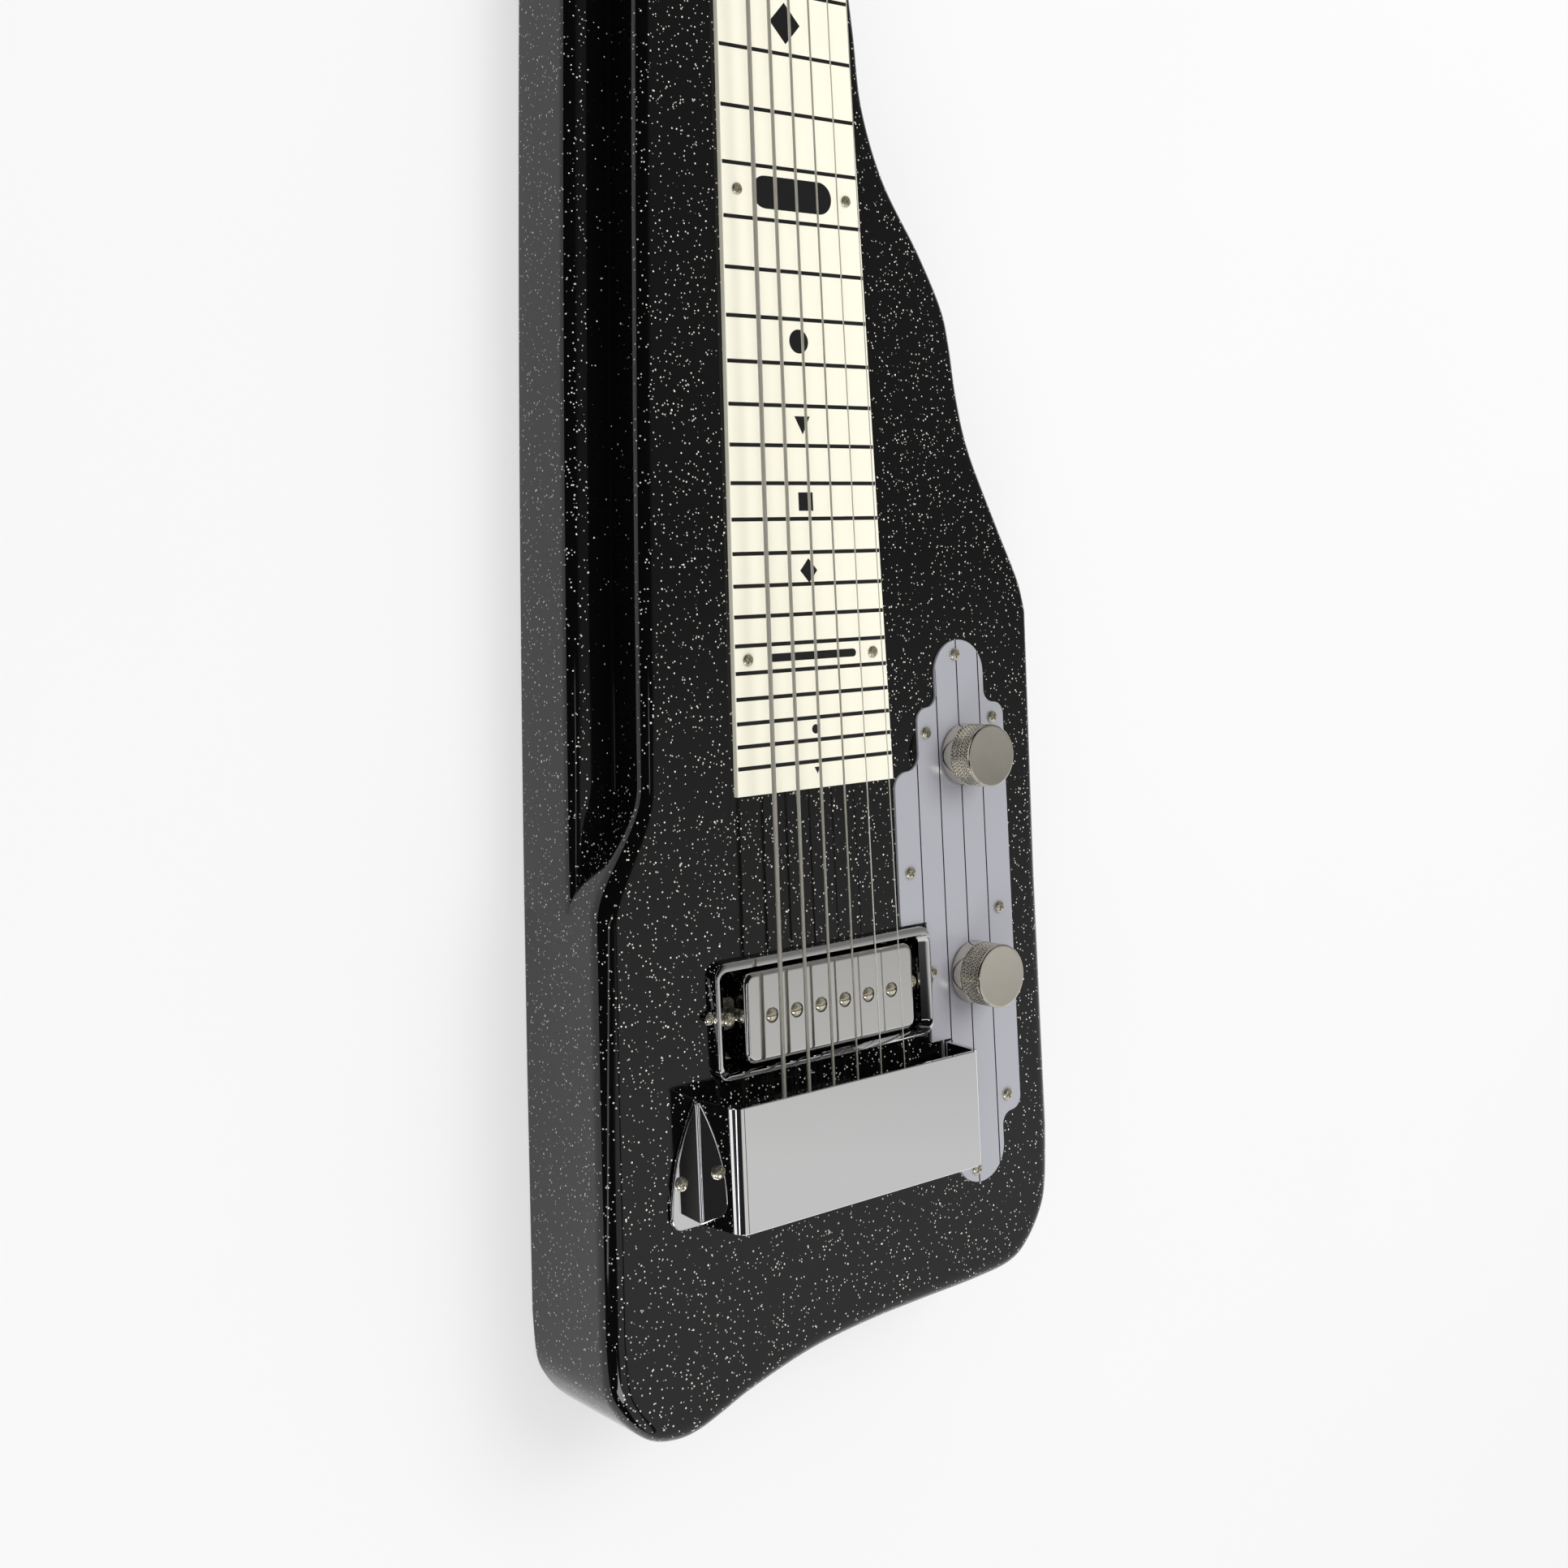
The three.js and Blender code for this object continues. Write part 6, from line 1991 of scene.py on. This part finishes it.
        rings = [ring(start, twist(-half), False), ring(-half - self.lead / 16, twist(-half), False)]
        for i in range(steps + 1):
            place = lerp(-half, half, i / steps)
            rings.append(ring(place, twist(place), True))
        return Form().loft([*rings, ring(half + self.lead / 16, twist(half), False), ring(end, twist(half), False)])

    def knob(self, x: float, y: float, side: int) -> Form:
        """An oval button with a neck and a bead.

        Args:
            x: The post's place along X.
            y: The post's place along Y.
            side: Sign of the side that the button is on.

        Returns:
            The closed form.
        """
        length, width, thick = self.button
        rings = []
        stops = [(0.0, 2.5), (0.15, 2.8), (1.0, 2.8), (1.25, 2.55), (1.5, 2.5)]
        for i in range(25):
            u = -cos(pi * i / 24)
            place = length / 2 * (1 + u)
            if place > 1.6:
                swell = sqrt(max(0.0, 1 - abs(u) ** 2.3))
                stops.append((place, swell))
        for place, size in stops:
            w, t = (size, size) if place < 1.6 else (max(width * size, 0.4), max(thick * size, 0.3))
            if 1.6 < place < 3.0:
                w, t = max(w, 2.5), max(t, 2.5)
            ring = []
            for angle in spokes(40):
                c, s = cos(angle), sin(angle)
                ring.append(Vector((x + side * (self.button_start + place),
                                    y + self.offset + w * copysign(abs(c) ** self.flattening, c),
                                    self.worm_z + t * copysign(abs(s) ** self.flattening, s))))
            rings.append(ring)
        return Form().loft(rings)

    def plate(self, side: int) -> Cut:
        """A strip with two bearings for each worm.

        Args:
            side: Sign of the side.

        Returns:
            The strip with its tabs and holes.
        """
        ends = [y for x, y in self.places().values() if x * side > 0]
        low = self.back - self.strip
        middle = (min(ends) + max(ends)) / 2 + self.offset / 2
        x = side * (self.row + (self.bearings[1] - self.bearings[0]) / 2)
        base = Form().slab(rounded_box(self.strip_width, self.strip_length, 3.0, x, middle), low, self.back, 0.35, 0)
        tabs, tools = [], []
        thick, wide = self.bearing
        for y in ends:
            axis = y + self.offset
            for offset in (side * self.bearings[1], -side * self.bearings[0]):
                bottom = self.worm_z - self.crest
                outline = [(axis + wide / 2, self.back - 0.6), (axis - wide / 2, self.back - 0.6)]
                outline += [(p.x, p.y) for p in arc(axis - wide / 2 + 2.4, bottom + 2.4, 2.4, 180, 90, 10)]
                outline += [(p.x, p.y) for p in arc(axis + wide / 2 - 2.4, bottom + 2.4, 2.4, 270, 90, 10)]
                at = side * self.row + offset
                faces = ((-thick / 2, 0.97), (0.15 - thick / 2, 1), (thick / 2 - 0.15, 1), (thick / 2, 0.97))
                rings = [[Vector((at + dx, axis + (a - axis) * k, b)) for a, b in outline] for dx, k in faces]
                tabs.append(Form().loft(rings))
                tools.append(Form().rod(self.core + self.gap, -LAYOUT.overrun, LAYOUT.overrun, 28,
                                        sideways(at, axis, self.worm_z)))
            tools.append(Form().rod(self.post + self.gap, low - LAYOUT.overrun, self.back + LAYOUT.overrun, 32,
                                    shift(side * self.row, y)))
        return base.cut(tools, tabs)

    def build(self) -> None:
        """Makes the strips, posts, worms, buttons and bushings."""
        heads, flip = Form(), Matrix.Rotation(pi, 4, "X")
        for side, name in ((1, "treble"), (-1, "bass")):
            piece(f"tuner_plate_{name}", self.plate(side), [NICKEL], replaces=[f"tuner_strip_{name}"], sharp=35)
            first = min(y for _, y in self.places().values())
            for step in self.plate_screws:
                under = shift(side * (self.row + 5.5), first + step, self.back - self.strip + 0.02)
                heads.merge(Screw(2.0, 1.0, 0.7, turn=0.3 * step).form(under @ flip), Matrix())
        piece("tuner_plate_screws", heads, [HEADS])
        low = self.face - 8.0
        bushing = [(3.3, low), (4.15, low), (4.15, self.face), (5.0, self.face), (5.0, self.face + 0.45),
                   (4.75, self.face + 0.7), (4.3, self.face + 0.8), (3.5, self.face + 0.8), (3.3, self.face + 0.6)]
        for string, (x, y) in self.places().items():
            side, at = (1 if x > 0 else -1), shift(x, y)
            stem = self.stem()
            stem.base.points = [at @ p for p in stem.base.points]
            stem.tools[0].points = [at @ p for p in stem.tools[0].points]
            piece(f"tuner_stem_{string}", stem, [NICKEL], f"post_{string}", replaces=[f"tuner_post_{string}"], sharp=35)
            wheel = Form().merge(self.wheel(), at)
            under = shift(x, y, self.worm_z - self.gear / 2 + 0.02)
            wheel.merge(Screw(2.9, 1.2, 0.6, Drive.SLOT).form(under @ flip), Matrix())
            piece(f"tuner_wheel_{string}", wheel, [NICKEL], f"post_{string}")
            piece(f"tuner_thread_{string}", self.worm(x, y, side), [STEEL], f"worm_{string}",
                  replaces=[f"tuner_worm_{string}"], sharp=40)
            piece(f"tuner_oval_{string}", self.knob(x, y, side), [NICKEL], f"worm_{string}",
                  replaces=[f"tuner_button_{string}"], sharp=40)
            piece(f"post_collar_{string}", Form().turn(bushing, 48, at), [NICKEL], replaces=[f"post_bushing_{string}"])


@dataclass
class Studio:
    """Pale floor, soft light and the camera of the photograph."""

    focal: float = 2375.6
    image: float = 1932.0
    centre: Pair = (949.2, 695.6)
    place: Triple = (-388.41, -119.62, 524.46)
    right: Triple = (0.78807, -0.04398, 0.61401)
    forward: Triple = (0.61511, 0.01700, -0.78826)
    sensor: float = 36.0
    aim: Triple = (0.0, -0.1, 0.02)
    floor_half: float = 3.0
    floor_level: float = -0.0004
    floor_glow: float = 0.6
    tones: tuple[tuple[float, Colour], ...] = (
        (0.0, (0.06, 0.065, 0.075)), (0.18, (0.03, 0.03, 0.032)), (0.5, (0.02, 0.02, 0.02)),
        (0.6, (0.11, 0.11, 0.11)), (0.68, (1.0, 0.99, 0.97)), (1.0, (0.95, 0.95, 0.95)))
    tilt: Triple = (0.07, 0.02, 1.2)
    tilt_span: Pair = (0.3, 0.42)
    level_line: Pair = (-1.5, 0.2)
    level_limits: Pair = (0.17, 0.62)
    beam: Triple = (0.575, 0.018, 0.15)
    window: Triple = (0.41, 0.022, 60.0)
    window_side: Pair = (0.17, 0.16)
    fill_level: float = 0.55
    backdrop_level: float = 0.93

    def camera(self) -> None:
        """Sets the camera where the photograph was taken from."""
        data = bpy.data.cameras.new("camera")
        data.sensor_fit, data.sensor_width = "HORIZONTAL", self.sensor
        data.lens = self.focal * self.sensor / self.image
        data.shift_x = (self.image / 2 - self.centre[0]) / self.image
        data.shift_y = (self.centre[1] - self.image / 2) / self.image
        data.clip_start = 0.01
        right, back = Vector(self.right).normalized(), -Vector(self.forward).normalized()
        up = back.cross(right).normalized()
        right = up.cross(back)
        matrix = Matrix((right, up, back)).transposed().to_4x4()
        matrix.translation = Vector(self.place) * MM
        obj = placed("camera", data)
        obj.matrix_world = matrix
        bpy.context.scene.camera = obj

    def floor(self) -> None:
        """A large pale floor that the camera sees as near white."""
        material = bpy.data.materials.new("pale_floor")
        tree = Tree.on(material)
        grain = tree.add("TexNoise", {"Vector": tree.place(), "Scale": 6.0, "Detail": 3.0})
        tone = tree.mix(grain.outputs[0], (0.86, 0.86, 0.865, 1), (0.9, 0.9, 0.9, 1))
        shader = tree.add("BsdfPrincipled", {"Base Color": tone, "Roughness": 0.9})
        path = tree.add("LightPath")
        shown = tree.math("MAXIMUM", path.outputs["Is Camera Ray"], path.outputs["Is Glossy Ray"])
        pale = tree.add("Emission", {"Color": (0.95, 0.95, 0.95, 1), "Strength": 1.0})
        floor = tree.add("MixShader", {0: tree.math("MULTIPLY", shown, self.floor_glow), 1: shader.outputs[0],
                                       2: pale.outputs[0]})
        tree.add("OutputMaterial", {"Surface": floor.outputs[0]})
        mesh = bpy.data.meshes.new("floor")
        half = self.floor_half
        corners = ((-half, -half), (half, -half), (half, half), (-half, half))
        mesh.from_pydata([(x, y, self.floor_level) for x, y in corners], [], [(0, 1, 2, 3)])
        mesh.materials.append(material)
        placed("floor", mesh)

    def world(self) -> None:
        """A studio that is light above and darker behind the camera, white where the camera looks."""
        world = bpy.data.worlds.new("studio")
        bpy.context.scene.world = world
        tree = Tree.on(world)
        x, y, z = tree.add("SeparateXYZ", {0: tree.add("TexCoord").outputs["Generated"]}).outputs[:3]
        lift = tree.math("DIVIDE", tree.math("ARCTAN2", z, tree.math("MULTIPLY", x, -1.0)), pi)
        start, limit, slope = self.tilt
        lean = tree.math("MULTIPLY", tree.math("MINIMUM", tree.math("ADD", y, start), limit), slope)
        along = tree.math("SUBTRACT", lift, lean)
        low, high = self.tilt_span
        share = tree.add("MapRange", {0: lift, 1: low, 2: high}, interpolation_type="SMOOTHSTEP").outputs[0]
        ramp = tree.add("ValToRGB", {0: tree.math("SUBTRACT", lift, tree.math("MULTIPLY", lean, share))})
        elements = ramp.color_ramp.elements
        for position, _ in self.tones[2:]:
            elements.new(position)
        for element, (position, colour) in zip(elements, self.tones):
            element.position, element.color = position, (*colour, 1)
        low, high = self.level_limits
        level = tree.math("MINIMUM", tree.math("MAXIMUM", tree.math("MULTIPLY_ADD", y, *self.level_line), low), high)
        middle, half, dimmed = self.beam
        beam = tree.math("LESS_THAN", tree.math("ABSOLUTE", tree.math("SUBTRACT", lift, middle)), half)
        level = tree.math("MULTIPLY", level, tree.math("MULTIPLY_ADD", beam, dimmed - 1, 1.0))
        middle, half, bright = self.window
        window = tree.math("LESS_THAN", tree.math("ABSOLUTE", tree.math("SUBTRACT", along, middle)), half)
        setback, reach = self.window_side
        near = tree.math("LESS_THAN", tree.math("ABSOLUTE", tree.math("ADD", y, setback)), reach)
        level = tree.math("ADD", level, tree.math("MULTIPLY", tree.math("MULTIPLY", window, near), bright))
        path = tree.add("LightPath")
        room = tree.add("Background", {"Color": ramp.outputs[0], "Strength": level})
        soft = tree.add("Background", {"Color": (1, 1, 1, 1), "Strength": self.fill_level})
        white = tree.add("Background", {"Color": (1, 1, 1, 1), "Strength": self.backdrop_level})
        lit = tree.add("MixShader", {0: path.outputs["Is Glossy Ray"], 1: soft.outputs[0], 2: room.outputs[0]})
        seen = tree.add("MixShader", {0: path.outputs["Is Camera Ray"], 1: lit.outputs[0], 2: white.outputs[0]})
        tree.add("OutputWorld", {"Surface": seen.outputs[0]})

    def lamp(self, name: str, place: Triple, size: float, power: float, glossy: bool) -> None:
        """A square soft lamp that faces the instrument.

        Args:
            name: Name of the lamp.
            place: Where it hangs, in metres.
            size: Length of its sides, in metres.
            power: Its power in watts.
            glossy: Whether polished metal shows it.
        """
        data = bpy.data.lights.new(name, "AREA")
        data.shape, data.size, data.energy = "SQUARE", size, power
        obj = placed(name, data)
        obj.location = place
        obj.rotation_euler = (Vector(self.aim) - Vector(place)).to_track_quat("-Z", "Y").to_euler()
        obj.visible_glossy = glossy

    def build(self) -> None:
        """Sets up the whole studio."""
        self.camera()
        self.floor()
        self.world()
        self.lamp("ceiling_lamp", (0.7, 0.5, 1.7), 1.3, 22.0, False)
        self.lamp("front_lamp", (-0.8, -1.3, 1.0), 0.6, 6.0, True)
        bpy.context.scene.view_settings.view_transform = "Standard"


def main() -> None:
    """Builds every sub-assembly, then the studio."""
    logging.basicConfig(level=logging.INFO, format="%(name)s %(message)s")
    for assembly in (Studio(), Body(), Fretboard(), Nut(), Strings(), Pickup(), Bridge(), Controls(), Tuners()):
        LOG.info("building %s", type(assembly).__name__)
        assembly.build()


if __name__ == "__main__":
    main()
